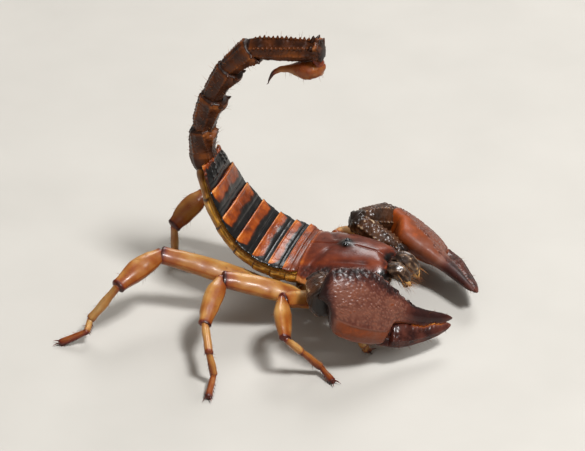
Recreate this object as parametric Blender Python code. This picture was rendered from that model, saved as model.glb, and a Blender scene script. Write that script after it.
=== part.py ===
"""A burrowing desert scorpion, life size, standing with its tail raised and its arms open.

Blender 4.5, metres, +Z up. The head looks along +X and the animal's left is +Y. Its feet stand on
the floor at Z = 0, and at the end everything is moved so that the origin is under the middle of
the whole animal. The numbers below are in millimetres, measured from the point on the floor under
the middle of the carapace.
"""

import math

import bmesh
import bpy
from mathutils import Vector

MM = 0.001
JOINT_GAP = 0.3  # thin cut between two neighbouring plates
MITRE_RUN = 1.6  # how far a limb runs past a joint before the cut trims it
SHARP_ANGLE = math.radians(50)
UP = Vector((0, 0, 1))
LEFT = Vector((0, 1, 0))
SIDES = {"left": 1, "right": -1}

# --- Trunk: the cuts between the seven back plates, from front to rear ---
# (back x, back z, belly x, belly z, half width)
TRUNK_CUTS = (
    (-6.2, 8.7, -6.3, 4.4, 5.6),
    (-7.6, 8.5, -8.2, 4.4, 5.8),
    (-9.6, 8.7, -10.6, 4.8, 5.9),
    (-11.8, 9.4, -13.3, 5.8, 5.8),
    (-14.1, 11.0, -16.2, 7.9, 5.5),
    (-16.3, 13.4, -18.8, 11.3, 4.9),
    (-17.9, 16.7, -20.7, 15.2, 4.1),
    (-19.6, 19.9, -22.4, 19.0, 2.7),
)
PLATE_SHARE = 0.34  # share of the trunk's height that the back plates cover
PLATE_STEP = 0.22  # each plate's rear edge stands this far over the next plate
BELLY_WIDTH = 0.98  # of the plates' width
TRUNK_ARCH = 10  # faces across the arch of a plate

# --- Carapace: (x, half width, crest z, margin z) from rear to front ---
CARAPACE = (
    (-6.0, 5.6, 9.1, 6.8),
    (-5.2, 5.9, 9.4, 6.6),
    (-3.0, 5.9, 9.7, 6.6),
    (-0.8, 5.6, 10.0, 6.7),
    (1.6, 5.1, 10.0, 6.8),
    (3.6, 4.6, 9.7, 6.9),
    (4.9, 4.2, 9.3, 7.1),
    (5.7, 3.5, 8.7, 7.3),
)
CARAPACE_ARCH = 14
LEG_BASES = (  # (x, half width, bottom z, top z) of the body that carries the legs
    (-7.9, 3.2, 3.2, 4.0),
    (-7.2, 4.2, 3.0, 4.0),
    (-6.0, 4.2, 2.9, 4.0),
    (-5.8, 4.2, 2.9, 6.2),
    (0.0, 4.2, 3.0, 6.3),
    (3.6, 4.2, 3.2, 6.5),
    (5.4, 2.6, 4.0, 6.5),
)
HIP_Y = 4.35  # just outside the leg bases
EYE = (-0.9, 0.55, 10.0)
EYE_RADIUS = 0.42
EYE_LEVELS = (0.12, 0.45, 0.75, 0.97)  # heights of the dome's rings, as shares of its radius
JAW = (  # (x, y, z, half width, half height)
    (6.05, 1.45, 8.0, 0.95, 0.75),
    (6.8, 1.45, 7.9, 1.25, 1.3),
    (7.9, 1.42, 7.6, 1.25, 1.35),
    (8.6, 1.35, 6.9, 0.95, 1.0),
    (8.7, 1.25, 5.9, 0.6, 0.6),
    (8.5, 1.2, 5.0, 0.35, 0.35),
)
COMB = (  # (x, y, z, half length), from the middle of the belly outward
    (-8.7, 0.5, 3.75, 0.45),
    (-9.3, 2.2, 3.75, 0.75),
    (-10.3, 4.0, 3.75, 0.6),
)
COMB_HALF_HEIGHT = 0.3

# --- Tail: joint positions (x, z), then (half width, half height) of each segment ---
TAIL_JOINTS = (
    (-20.95, 19.65),
    (-20.7, 23.9),
    (-19.4, 28.8),
    (-17.1, 33.4),
    (-13.9, 37.0),
    (-4.35, 38.25),
)
TAIL_SIZES = ((1.7, 1.65), (1.62, 1.6), (1.5, 1.5), (1.42, 1.48), (1.35, 1.45))
# (share of the length, width, back, underside), as shares of the segment's half sizes
TAIL_FLARE = (
    (0.0, 0.8, 0.74, 0.88),
    (0.12, 0.92, 0.86, 0.98),
    (0.5, 0.96, 0.96, 1.0),
    (0.85, 1.06, 1.12, 1.06),
    (1.0, 1.08, 1.2, 1.04),
)
LAST_FLARE = (
    (0.0, 0.9, 0.85, 0.95),
    (0.12, 0.98, 0.98, 1.06),
    (0.5, 1.0, 1.04, 1.12),
    (0.85, 0.98, 0.98, 1.06),
    (1.0, 0.92, 0.84, 0.94),
)
VESICLE = (  # (x, z, half width, half height) along the poison bulb
    (-4.2, 36.3, 0.5, 0.4),
    (-4.65, 35.65, 0.85, 0.75),
    (-5.5, 35.3, 1.2, 1.02),
    (-6.8, 35.05, 1.22, 1.14),
    (-8.0, 35.0, 0.85, 0.82),
    (-8.8, 34.95, 0.55, 0.5),
)
STING = (  # (x, z, half width, half height) along the sting
    (-9.1, 34.9, 0.48, 0.48),
    (-10.0, 34.65, 0.42, 0.42),
    (-10.9, 34.05, 0.36, 0.36),
    (-11.5, 33.1, 0.3, 0.3),
    (-11.8, 32.0, 0.25, 0.25),
)

# --- Arms: joint positions, and the way the back of each hand faces ---
ARMS = {
    "left": {
        "joints": ((3.9, HIP_Y, 5.6), (4.6, 6.5, 6.0), (-2.0, 8.2, 8.2), (1.2, 15.3, 5.2)),
        "fingertip": (15.9, 4.0, 3.4),
        "hand_back": (0.40, 0.47, 0.79),
    },
    "right": {
        "joints": ((3.9, -HIP_Y, 5.6), (4.6, -6.5, 6.0), (-1.9, -8.6, 9.0), (1.3, -15.1, 9.8)),
        "fingertip": (15.1, -4.2, 3.8),
        "hand_back": (0.665, -0.608, 0.435),
    },
}
# (share of the length, half width, back, underside)
ARM_FEMUR = (
    (0.0, 1.0, 1.1, 1.1),
    (0.2, 1.25, 1.4, 1.4),
    (0.55, 1.35, 1.5, 1.5),
    (0.9, 1.35, 1.45, 1.45),
    (1.0, 1.25, 1.35, 1.35),
)
ARM_PATELLA = (
    (0.0, 1.3, 1.4, 1.4),
    (0.25, 1.9, 2.1, 2.1),
    (0.6, 2.1, 2.3, 2.3),
    (0.9, 2.0, 2.2, 2.2),
    (1.0, 1.8, 2.0, 2.0),
)
HAND = (  # (distance from the wrist, inner edge, outer edge, back, palm)
    (0.5, 3.6, 1.9, 1.2, 1.3),
    (1.0, 4.8, 2.9, 1.7, 1.8),
    (2.4, 5.4, 3.7, 2.0, 2.2),
    (4.4, 5.6, 4.2, 2.1, 2.4),
    (6.8, 5.1, 4.3, 1.9, 2.2),
    (8.8, 3.9, 4.0, 1.5, 1.7),
    (9.5, 3.4, 1.5, 1.35, 1.4),
    (10.8, 2.4, 1.2, 1.1, 1.1),
    (12.4, 1.5, 1.0, 0.9, 0.9),
    (14.6, 1.1, 0.75, 0.75, 0.75),
    (16.8, 0.95, 0.3, 0.55, 0.55),
    (18.5, 0.65, -0.1, 0.28, 0.28),
)
FINGER = (  # the moving finger lies beyond the hand's outer edge
    (9.5, -2.0, 4.1, 1.0, 1.1),
    (10.6, -1.65, 4.15, 1.1, 1.15),
    (12.4, -1.5, 3.85, 0.95, 0.95),
    (14.6, -1.15, 3.1, 0.8, 0.8),
    (16.6, -0.65, 2.1, 0.6, 0.6),
    (18.4, -0.2, 0.8, 0.28, 0.28),
)

# --- Legs: hip, trochanter, knee, shin, ankle, heel and toe ---
LEGS = {
    "left_1": (
        (1.4, HIP_Y, 3.7), (1.2, 5.5, 3.8), (0.9, 9.2, 3.9), (0.6, 12.6, 2.7), (1.0, 13.8, 1.8),
        (1.4, 14.5, 1.1), (2.2, 15.6, 0),
    ),
    "left_2": (
        (-0.8, HIP_Y, 3.9), (-1.2, 5.5, 4.4), (-5.2, 7.6, 6.0), (-2.6, 12.8, 3.4), (-1.6, 15.4, 2.0),
        (-1.0, 16.4, 1.2), (-0.2, 18.2, 0),
    ),
    "left_3": (
        (-3.4, HIP_Y, 3.9), (-3.8, 5.6, 3.9), (-10.2, 9.1, 3.4), (-15.6, 11.0, 3.3), (-17.6, 12.4, 2.0),
        (-18.4, 13.0, 1.2), (-19.8, 14.0, 0),
    ),
    "left_4": (
        (-6.4, HIP_Y, 3.9), (-7.8, 5.4, 4.0), (-23.5, 7.2, 9.0), (-26.2, 2.6, 6.1), (-26.4, 3.1, 1.7),
        (-25.2, 2.6, 1.1), (-23.4, 2.0, 0),
    ),
    "right_1": (
        (1.4, -HIP_Y, 3.7), (1.6, -5.5, 3.9), (2.6, -8.6, 4.2), (4.4, -10.8, 3.2), (5.0, -10.5, 1.9),
        (5.2, -10.2, 1.1), (5.4, -9.2, 0),
    ),
    "right_2": (
        (-0.8, -HIP_Y, 3.9), (-1.1, -5.5, 4.3), (-5.5, -12.5, 8.0), (-3.0, -18.6, 6.2), (-0.3, -16.9, 2.8),
        (1.0, -16.2, 1.2), (3.2, -17.7, 0),
    ),
    "right_3": (
        (-3.4, -HIP_Y, 3.9), (-4.0, -5.7, 4.0), (-14.7, -10.1, 7.8), (-14.4, -17.5, 5.3), (-12.1, -22.2, 4.5),
        (-11.3, -22.8, 1.4), (-10.8, -26.3, 0),
    ),
    "right_4": (
        (-6.4, -HIP_Y, 3.9), (-7.8, -5.3, 3.9), (-23.8, -8.5, 8.7), (-27.0, -15.9, 7.5), (-30.5, -17.4, 2.5),
        (-30.2, -19.6, 1.9), (-33.5, -20.8, 0),
    ),
}
TOE_LIFT = 0.3  # a toe's middle is this high, so that its sole is a small flat on the floor
LEG_FEMUR = (
    (0.0, 0.65, 0.8, 0.85),
    (0.22, 0.85, 1.15, 1.3),
    (0.5, 0.9, 1.35, 1.65),
    (0.85, 0.8, 1.15, 1.4),
    (1.0, 0.6, 0.8, 0.9),
)
LEG_PATELLA = (
    (0.0, 0.6, 0.8, 0.8),
    (0.18, 0.85, 1.25, 1.25),
    (0.45, 0.95, 1.5, 1.5),
    (0.8, 0.8, 1.2, 1.2),
    (1.0, 0.6, 0.75, 0.75),
)
FOOT = ((0.55, 0.78, 0.78), (0.48, 0.65, 0.65), (0.45, 0.55, 0.55), (0.46, 0.5, 0.5))
LEG_SCALE = {"1": 0.82, "2": 0.9, "3": 0.97, "4": 1.0}

COLOURS = {  # (red, green, blue), roughness
    "reddish_shell": ((0.16, 0.045, 0.02), 0.35),
    "dark_shell": ((0.035, 0.02, 0.016), 0.35),
    "banded_shell": ((0.22, 0.06, 0.015), 0.3),
    "hand_shell": ((0.15, 0.05, 0.03), 0.4),
    "amber_shell": ((0.42, 0.2, 0.06), 0.32),
    "soft_belly": ((0.36, 0.18, 0.05), 0.45),
    "eye_black": ((0.005, 0.005, 0.006), 0.08),
}


def clear_scene():
    for obj in list(bpy.data.objects):
        bpy.data.objects.remove(obj)


def material(name):
    found = bpy.data.materials.get(name)
    if found:
        return found
    colour, roughness = COLOURS[name]
    made = bpy.data.materials.new(name)
    made.use_nodes = True
    shader = made.node_tree.nodes["Principled BSDF"]
    shader.inputs["Base Color"].default_value = (*colour, 1)
    shader.inputs["Roughness"].default_value = roughness
    shader.inputs["Metallic"].default_value = 0
    return made


def solid(name, rings, colour, cuts=()):
    """One closed body through equal rings of points, trimmed at each (point, outward normal)."""
    bm = bmesh.new()
    loops = [[bm.verts.new(p * MM) for p in points] for points in rings]
    count = len(loops[0])
    for a, b in zip(loops, loops[1:]):
        for i in range(count):
            j = (i + 1) % count
            bm.faces.new((a[i], a[j], b[j], b[i]))
    bm.faces.new(loops[0])
    bm.faces.new(loops[-1])
    for point, normal in cuts:
        everything = bm.verts[:] + bm.edges[:] + bm.faces[:]
        made = bmesh.ops.bisect_plane(
            bm, geom=everything, plane_co=point * MM, plane_no=normal, clear_outer=True, dist=1e-8
        )
        edges = [e for e in made["geom_cut"] if isinstance(e, bmesh.types.BMEdge)]
        bmesh.ops.holes_fill(bm, edges=edges, sides=0)
    bmesh.ops.recalc_face_normals(bm, faces=bm.faces[:])
    mesh = bpy.data.meshes.new(name)
    bm.to_mesh(mesh)
    bm.free()
    mesh.materials.append(material(colour))
    mesh.shade_smooth()
    mesh.set_sharp_from_angle(angle=SHARP_ANGLE)
    obj = bpy.data.objects.new(name, mesh)
    bpy.context.scene.collection.objects.link(obj)


def ring(centre, across, upright, half, sides):
    """An oval of points round centre, with half sizes (left, right, top, bottom)."""
    left, right, top, bottom = half
    points = []
    for i in range(sides):
        angle = 2 * math.pi * (i + 0.5) / sides
        c, s = math.cos(angle), math.sin(angle)
        x = c * (left if c > 0 else right)
        z = s * (top if s > 0 else bottom)
        points.append(centre + across * x + upright * z)
    return points


def directions(path):
    """The way a path runs at each of its points."""
    last = len(path) - 1
    return [(path[min(i + 1, last)] - path[max(i - 1, 0)]).normalized() for i in range(last + 1)]


def tube(path, halves, across, sides):
    """Ovals of half sizes (width, top, bottom) along a path, turning with it."""
    rings = []
    for centre, ahead, (wide, top, bottom) in zip(path, directions(path), halves):
        across = (across - ahead * across.dot(ahead)).normalized()
        rings.append(ring(centre, across, ahead.cross(across), (wide, wide, top, bottom), sides))
    return rings


def mitre(before, joint, after):
    """The normal of the cut that a joint makes between the segments before and after it."""
    return ((joint - before).normalized() + (after - joint).normalized()).normalized()


def limb(name, points, halves, colour, start_cut, end_cut, sides=8, upright=UP):
    """A limb through points, cut at its joints.

    start_cut and end_cut are the normals of the cuts, both pointing from start to end. A limb
    without an end cut stands on the floor and is cut flat there.
    """
    first = (points[1] - points[0]).normalized()
    last = (points[-1] - points[-2]).normalized()
    path = [points[0] - first * MITRE_RUN, *points, points[-1] + last * MITRE_RUN]
    sizes = [halves[0], *halves, halves[-1]]
    cuts = [(points[0] + start_cut * JOINT_GAP / 2, -start_cut)]
    if end_cut is None:
        path, sizes = path[:-1], sizes[:-1]
        cuts.append((Vector(), -UP))
    else:
        cuts.append((points[-1] - end_cut * JOINT_GAP / 2, end_cut))
    solid(name, tube(path, sizes, upright.cross(first), sides), colour, cuts)


def along(start, end, profile, wide=1.0, high=1.0):
    """Points and half sizes of a profile laid between start and end."""
    points = [start.lerp(end, row[0]) for row in profile]
    return points, [(row[1] * wide, row[2] * high, row[3] * high) for row in profile]


def arch(centre, half_width, top, bottom, faces, upright=UP):
    """Half an oval over a flat base, across the body. Top and bottom are heights over centre."""
    points = []
    for i in range(faces + 1):
        angle = math.pi * i / faces
        height = bottom + math.sin(angle) * (top - bottom)
        points.append(centre + LEFT * (math.cos(angle) * half_width) + upright * height)
    return points


def between(a, b, share):
    return tuple(p + (q - p) * share for p, q in zip(a, b))


def trunk_section(cut):
    """The belly point, the unit vector from belly to back, the height and the half width."""
    back_x, back_z, belly_x, belly_z, half_width = cut
    belly = Vector((belly_x, 0, belly_z))
    rise = Vector((back_x, 0, back_z)) - belly
    return belly, rise.normalized(), rise.length, half_width


def make_back_plates():
    """Seven plates, each rising a little to its rear edge, which stands over the next one."""
    for number, (front, rear) in enumerate(zip(TRUNK_CUTS, TRUNK_CUTS[1:]), 1):
        inset = JOINT_GAP / 2 / (Vector(rear[:2]) - Vector(front[:2])).length
        rings = []
        for share, step in ((inset, 0), (0.5, 0.5), (1 - inset, 1)):
            belly, up, height, half_width = trunk_section(between(front, rear, share))
            seam = height * (1 - PLATE_SHARE) + JOINT_GAP / 2
            top = height + step * PLATE_STEP
            rings.append(arch(belly, half_width + step * PLATE_STEP / 2, top, seam, TRUNK_ARCH, up))
        solid(f"back_plate_{number}", rings, "banded_shell")


def make_belly():
    """The soft underside, one body below the seam of the back plates."""
    rings = []
    for cut in TRUNK_CUTS:
        belly, up, height, half_width = trunk_section(cut)
        seam = height * (1 - PLATE_SHARE) - JOINT_GAP / 2
        rings.append(arch(belly, half_width * BELLY_WIDTH, 0, seam, TRUNK_ARCH, up))
    solid("belly", rings, "soft_belly")


def make_carapace():
    rings = []
    for x, half_width, crest, margin in CARAPACE:
        rings.append(arch(Vector((x, 0, 0)), half_width, crest, margin, CARAPACE_ARCH))
    solid("carapace", rings, "reddish_shell")


def make_leg_bases():
    outline = ((1, 0.6), (0.8, 1), (-0.8, 1), (-1, 0.6), (-1, -0.5), (-0.6, -1), (0.6, -1), (1, -0.5))
    rings = []
    for x, half_width, low, high in LEG_BASES:
        middle, half_height = (low + high) / 2, (high - low) / 2
        rings.append([Vector((x, y * half_width, middle + z * half_height)) for y, z in outline])
    solid("leg_bases", rings, "soft_belly")


def make_eyes():
    """The two middle eyes, domes on the crest of the carapace."""
    x, y, z = EYE
    for side, sign in SIDES.items():
        rings = []
        for level in EYE_LEVELS:
            radius = EYE_RADIUS * math.sqrt(1 - level**2)
            centre = Vector((x, sign * y, z + EYE_RADIUS * level))
            rings.append(ring(centre, Vector((1, 0, 0)), LEFT, (radius,) * 4, 10))
        solid(f"eye_{side}", rings, "eye_black")


def make_jaws():
    """Two stout jaws under the front of the carapace, each with a finger that hooks down."""
    for side, sign in SIDES.items():
        path = [Vector((x, sign * y, z)) for x, y, z, _, _ in JAW]
        halves = [(wide, high, high) for _, _, _, wide, high in JAW]
        solid(f"jaw_{side}", tube(path, halves, LEFT, 8), "dark_shell")


def make_combs():
    """The pair of combs behind the leg bases, under the belly."""
    for side, sign in SIDES.items():
        rings = []
        for x, y, z, half_length in COMB:
            half = (half_length, half_length, COMB_HALF_HEIGHT, COMB_HALF_HEIGHT)
            rings.append(ring(Vector((x, sign * y, z)), Vector((1, 0, 0)), UP, half, 6))
        solid(f"comb_{side}", rings, "soft_belly")


def make_tail():
    joints = [Vector((x, 0, z)) for x, z in TAIL_JOINTS]
    _, up, _, _ = trunk_section(TRUNK_CUTS[-1])
    cuts = [up.cross(LEFT)]
    for before, joint, after in zip(joints, joints[1:], joints[2:]):
        cuts.append(mitre(before, joint, after))
    cuts.append((joints[-1] - joints[-2]).normalized())
    for i, (start, end) in enumerate(zip(joints, joints[1:])):
        wide, high = TAIL_SIZES[i]
        flare = LAST_FLARE if end is joints[-1] else TAIL_FLARE
        points, halves = along(start, end, flare, wide, high)
        inside_curl = (end - start).cross(LEFT) * -1
        limb(f"tail_{i + 1}", points, halves, "dark_shell", cuts[i], cuts[i + 1], 10, inside_curl)


def make_sting():
    for name, stations, colour in (("poison_bulb", VESICLE, "amber_shell"), ("sting", STING, "dark_shell")):
        path = [Vector((x, 0, z)) for x, z, _, _ in stations]
        halves = [(wide, high, high) for _, _, wide, high in stations]
        solid(name, tube(path, halves, LEFT, 10), colour)


def make_arm(side, arm):
    hip, turn, elbow, wrist = [Vector(p) for p in arm["joints"]]
    tip = Vector(arm["fingertip"])
    at_elbow = mitre(turn, elbow, wrist)
    at_wrist = mitre(elbow, wrist, tip)
    points, halves = along(turn, elbow, ARM_FEMUR)
    points, halves = [hip, *points], [halves[0], *halves]
    limb(f"arm_{side}_femur", points, halves, "dark_shell", LEFT * SIDES[side], at_elbow, 10)
    points, halves = along(elbow, wrist, ARM_PATELLA)
    limb(f"arm_{side}_patella", points, halves, "dark_shell", at_elbow, at_wrist, 10)

    reach = (tip - wrist).normalized()
    back = Vector(arm["hand_back"])
    back = (back - reach * back.dot(reach)).normalized()
    inner = reach.cross(back) * SIDES[side]

    def sections(rows, sides):
        rings = []
        for distance, inside, outside, top, bottom in rows:
            middle = wrist + reach * distance + inner * ((inside - outside) / 2)
            half = (inside + outside) / 2
            rings.append(ring(middle, inner, back, (half, half, top, bottom), sides))
        return rings

    wrist_cut = (wrist + at_wrist * (JOINT_GAP / 2), -at_wrist)
    solid(f"arm_{side}_hand", sections(HAND, 14), "hand_shell", [wrist_cut])
    solid(f"arm_{side}_finger", sections(FINGER, 10), "dark_shell")


def make_leg(name, joints):
    """A leg of three bodies: the femur, the patella, and the shin with its foot."""
    joints = [Vector(p) for p in joints]
    joints[-1].z = TOE_LIFT
    side, number = name.split("_")
    scale = LEG_SCALE[number]
    hip, trochanter, knee, shin, ankle = joints[:5]
    at_knee = mitre(trochanter, knee, shin)
    at_shin = mitre(knee, shin, ankle)
    outside_bend = (knee - trochanter).normalized() - (shin - knee).normalized()
    points, halves = along(trochanter, knee, LEG_FEMUR, scale, scale)
    points, halves = [hip, *points], [halves[0], *halves]
    hip_cut = LEFT * SIDES[side]
    limb(f"leg_{name}_femur", points, halves, "amber_shell", hip_cut, at_knee, 8, outside_bend)
    points, halves = along(knee, shin, LEG_PATELLA, scale, scale)
    limb(f"leg_{name}_patella", points, halves, "amber_shell", at_knee, at_shin, 8, outside_bend)
    halves = [tuple(size * scale for size in row) for row in FOOT]
    limb(f"leg_{name}_foot", joints[-4:], halves, "amber_shell", at_shin, None, 8, outside_bend)


def centre_on_floor():
    """Moves every body so that the origin is under the middle of the whole animal."""
    meshes = [obj.data for obj in bpy.context.scene.objects]
    corners = [vertex.co for mesh in meshes for vertex in mesh.vertices]
    low = [min(co[axis] for co in corners) for axis in range(3)]
    high = [max(co[axis] for co in corners) for axis in range(3)]
    move = Vector(((low[0] + high[0]) / 2, (low[1] + high[1]) / 2, low[2]))
    for mesh in meshes:
        for vertex in mesh.vertices:
            vertex.co -= move


def main():
    clear_scene()
    make_carapace()
    make_leg_bases()
    make_eyes()
    make_jaws()
    make_back_plates()
    make_belly()
    make_combs()
    make_tail()
    make_sting()
    for side, arm in ARMS.items():
        make_arm(side, arm)
    for name, joints in LEGS.items():
        make_leg(name, joints)
    centre_on_floor()


main()
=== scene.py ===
"""Looks of a burrowing desert scorpion: shell plates, soft skin, jaws, claws, legs, tail and sting.

Lengths are millimetres in the frame's own axes: +X towards the head, +Y to the animal's left,
+Z up and the floor at 0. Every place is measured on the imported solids.
"""

import heapq
import itertools
import math
import random

import bpy
import numpy as np
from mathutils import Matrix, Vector, noise
from mathutils.bvhtree import BVHTree


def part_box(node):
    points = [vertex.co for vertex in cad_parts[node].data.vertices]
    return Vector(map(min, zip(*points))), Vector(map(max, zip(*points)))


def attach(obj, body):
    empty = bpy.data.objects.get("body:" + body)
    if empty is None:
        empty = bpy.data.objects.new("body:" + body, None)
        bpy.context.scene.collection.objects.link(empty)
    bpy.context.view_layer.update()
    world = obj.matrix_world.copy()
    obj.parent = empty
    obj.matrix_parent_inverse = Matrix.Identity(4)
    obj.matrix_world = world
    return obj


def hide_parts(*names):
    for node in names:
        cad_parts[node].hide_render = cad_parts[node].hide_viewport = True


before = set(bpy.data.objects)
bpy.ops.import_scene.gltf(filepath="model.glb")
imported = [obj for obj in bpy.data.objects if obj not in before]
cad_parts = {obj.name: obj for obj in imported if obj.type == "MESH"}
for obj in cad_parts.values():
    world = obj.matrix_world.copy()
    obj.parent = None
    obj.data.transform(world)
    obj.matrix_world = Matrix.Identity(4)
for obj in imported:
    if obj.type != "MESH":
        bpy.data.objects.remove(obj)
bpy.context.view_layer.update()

MM = 0.001
AHEAD = np.array((1.0, 0.0, 0.0))
LEFT = np.array((0.0, 1.0, 0.0))
UP = np.array((0.0, 0.0, 1.0))
SIDES = {"left": 1, "right": -1}
CUT_REACH = 0.5  # faces this near a neighbour are the two sides of the thin cut between them
FACET_FILL = 1.02  # a round section stands this far over the flat-sided one it replaces

# --- Camera: life-size subject, seen from its front right and above ---
CAMERA_AIM = (-0.6, 6.91, 9.33)
CAMERA_DISTANCE = 450.0
CAMERA_TURN = 19.0  # degrees round from the animal's right side towards its head
CAMERA_RISE = 32.0  # degrees above the floor
SENSOR_WIDTH = 36.0
LENS_LENGTH = SENSOR_WIDTH * 75 / 13  # a long lens, so the model shows with little perspective


# ---------------------------------------------------------------- numbers
def unit(vector):
    return vector / np.linalg.norm(vector)


def rise(x, start, end):
    """0 before start, 1 after end, and a smooth step between them."""
    t = np.clip((x - start) / (end - start), 0, 1)
    return t * t * (3 - 2 * t)


def bump(x, middle, width):
    """1 at middle, and smoothly down to nothing about two widths away."""
    return np.exp(-(((x - middle) / width) ** 2))


def turn_gap(a, b):
    """How far apart two angles are, 0 to pi."""
    return np.abs((a - b + math.pi) % (2 * math.pi) - math.pi)


def ridge(angle, middle, width):
    """The same for angles, which come round again."""
    return np.exp(-((turn_gap(angle, middle) / width) ** 2))


def smooth_curve(rows, count):
    """Evenly spaced rows on the smooth curve through some rows of numbers."""
    rows = np.asarray(rows, float)
    last = len(rows) - 1
    t = np.linspace(0, last, count)
    i = np.minimum(t.astype(int), last - 1)
    f = (t - i).reshape(-1, *[1] * (rows.ndim - 1))
    a, b = rows[i], rows[i + 1]
    first, end = (i == 0).reshape(f.shape), (i == last - 1).reshape(f.shape)
    slope_a = np.where(first, b - a, (b - rows[np.maximum(i - 1, 0)]) / 2)
    slope_b = np.where(end, b - a, (rows[np.minimum(i + 2, last)] - a) / 2)
    return (
        (2 * f**3 - 3 * f**2 + 1) * a + (f**3 - 2 * f**2 + f) * slope_a
        + (3 * f**2 - 2 * f**3) * b + (f**3 - f**2) * slope_b
    )


def soften(values, reach, wrap=False):
    """Blurs the rows of a table over about reach rows, which rounds off facets."""
    count = int(max(1, round(reach)))
    kernel = np.hanning(2 * count + 3)[1:-1]
    kernel /= kernel.sum()
    if wrap:
        padded = np.concatenate((values[-count:], values, values[:count]))
    else:
        start = 2 * values[:1] - values[1:count + 1][::-1]
        end = 2 * values[-1:] - values[-count - 1:-1][::-1]
        padded = np.concatenate((start, values, end))
    return sum(weight * padded[i:i + len(values)] for i, weight in enumerate(kernel))


def at_rows(x, known, table):
    """The rows of a table at x, between the rows at the known places."""
    return np.array([np.interp(x, known, column) for column in table.T]).T


def cells(points, spacing, size=0.55, seed=0.0):
    """Height 0 to 1 of rounded granules, about spacing apart, at each point."""
    places = (points.reshape(-1, 3) / spacing + seed).tolist()
    near = np.array([noise.voronoi(place)[0][0] for place in places])
    return np.clip(1 - (near / size) ** 2, 0, 1).reshape(points.shape[:-1])


def drift(points, size, seed=0.0):
    """Soft noise, about -1 to 1, with swells of that size."""
    places = (points.reshape(-1, 3) / size + seed).tolist()
    return np.array([noise.noise(place) for place in places]).reshape(points.shape[:-1]) * 2


# ---------------------------------------------------------------- measuring the solids
def corners_and_faces(node):
    """A node's corners in millimetres, and its faces as lists of them."""
    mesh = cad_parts[node].data
    points = np.array([vertex.co for vertex in mesh.vertices]) / MM
    return points, [list(face.vertices) for face in mesh.polygons]


def solids(*nodes):
    """A search tree over the surface of some nodes."""
    points, faces = [], []
    for node in nodes:
        own, own_faces = corners_and_faces(node)
        faces += [[i + len(points) for i in face] for face in own_faces]
        points += own.tolist()
    return BVHTree.FromPolygons(points, faces)


def hit(tree, start, way):
    """Distance from start to a surface, or nan."""
    found = tree.ray_cast(Vector(start), Vector(way))[3]
    return math.nan if found is None else found


def box(node):
    """Lowest and highest corner of a node."""
    return [np.array(corner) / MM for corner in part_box(node)]


NET_STEP = 0.55
LINE_STEP = 0.45


def fine_mesh(node):
    """A node's surface as a net of points no more than about NET_STEP apart: points and links."""
    points, faces = corners_and_faces(node)
    found, net, links = {}, [], set()

    def place(point):
        key = tuple(np.round(point, 3))
        if key not in found:
            found[key] = len(net)
            net.append(point)
        return found[key]

    for face in faces:
        for b, c in zip(face[1:], face[2:]):
            corner, second, third = points[face[0]], points[b], points[c]
            longest_side = max(np.linalg.norm(second - corner), np.linalg.norm(third - corner),
                               np.linalg.norm(third - second))
            parts = max(1, math.ceil(longest_side / NET_STEP))
            at = {}
            for i in range(parts + 1):
                for j in range(parts + 1 - i):
                    at[i, j] = place(corner + (second - corner) * i / parts + (third - corner) * j / parts)
            for (i, j), own in at.items():
                for other in ((i + 1, j), (i, j + 1), (i - 1, j + 1)):
                    if other in at and at[other] != own:
                        links.add((own, at[other]))
    return np.array(net), links


def facing(points, node):
    """Which points lie at the thin cut between them and a node."""
    tree = solids(node)
    return np.array([tree.find_nearest(Vector(p))[3] < CUT_REACH for p in points])


def centre_line(node, before, after=None):
    """The line through the middle of a long solid, from its end at node before to its other end.

    The far end faces node after, stands on the floor, or is the tip.
    """
    points, edges = fine_mesh(node)
    links = [[] for _ in points]
    for a, b in edges:
        length = float(np.linalg.norm(points[a] - points[b]))
        links[a].append((b, length))
        links[b].append((a, length))
    start = facing(points, before)
    travel = np.where(start, 0.0, np.inf)
    queue = [(0.0, int(i)) for i in np.flatnonzero(start)]
    while queue:
        reached, i = heapq.heappop(queue)
        if reached > travel[i]:
            continue
        for j, length in links[i]:
            if reached + length < travel[j]:
                travel[j] = reached + length
                heapq.heappush(queue, (travel[j], j))
    if after == "floor":
        end = points[:, 2] < 0.02
    elif after:
        end = facing(points, after)
    else:
        end = travel > travel.max() - 0.3
    body = ~start & ~end
    line = [points[start].mean(0)]
    for level in np.arange(LINE_STEP, travel[body].max(), LINE_STEP):
        band = body & (np.abs(travel - level) < LINE_STEP / 2)
        if band.any():
            line.append(points[band].mean(0))
    line.append(points[end].mean(0))
    return np.array(line)


def bends(line, count):
    """A line's two ends and the count points between them where straight runs fit it best."""
    def misfit(inner):
        marks = (0, *inner, len(line) - 1)
        total = 0.0
        for a, b in zip(marks, marks[1:]):
            way = unit(line[b] - line[a])
            off = line[a:b + 1] - line[a]
            total += (off**2).sum() - ((off @ way) ** 2).sum()
        return total
    best = min(itertools.combinations(range(2, len(line) - 2), count), key=misfit)
    return [line[i] for i in (0, *best, len(line) - 1)]


def path_axes(path, across):
    """At each point of a path: the way ahead, across it and upright to both."""
    ahead = np.gradient(path, axis=0)
    ahead /= np.linalg.norm(ahead, axis=1)[:, None]
    sideways = []
    for way in ahead:
        across = unit(across - way * np.dot(across, way))
        sideways.append(across)
    sideways = np.array(sideways)
    return ahead, sideways, np.cross(ahead, sideways)


def round_directions(across, upright, columns):
    """Unit vectors all round a section, from across, over upright, and on."""
    angle = 2 * math.pi * np.arange(columns) / columns
    return angle, np.cos(angle)[:, None] * across + np.sin(angle)[:, None] * upright


def round_path(across, upright, columns):
    """The same round every section of a path: a row of unit vectors for each of its points."""
    angle = 2 * math.pi * np.arange(columns) / columns
    cos, sin = np.cos(angle)[None, :, None], np.sin(angle)[None, :, None]
    return angle, cos * across[:, None] + sin * upright[:, None]


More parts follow.
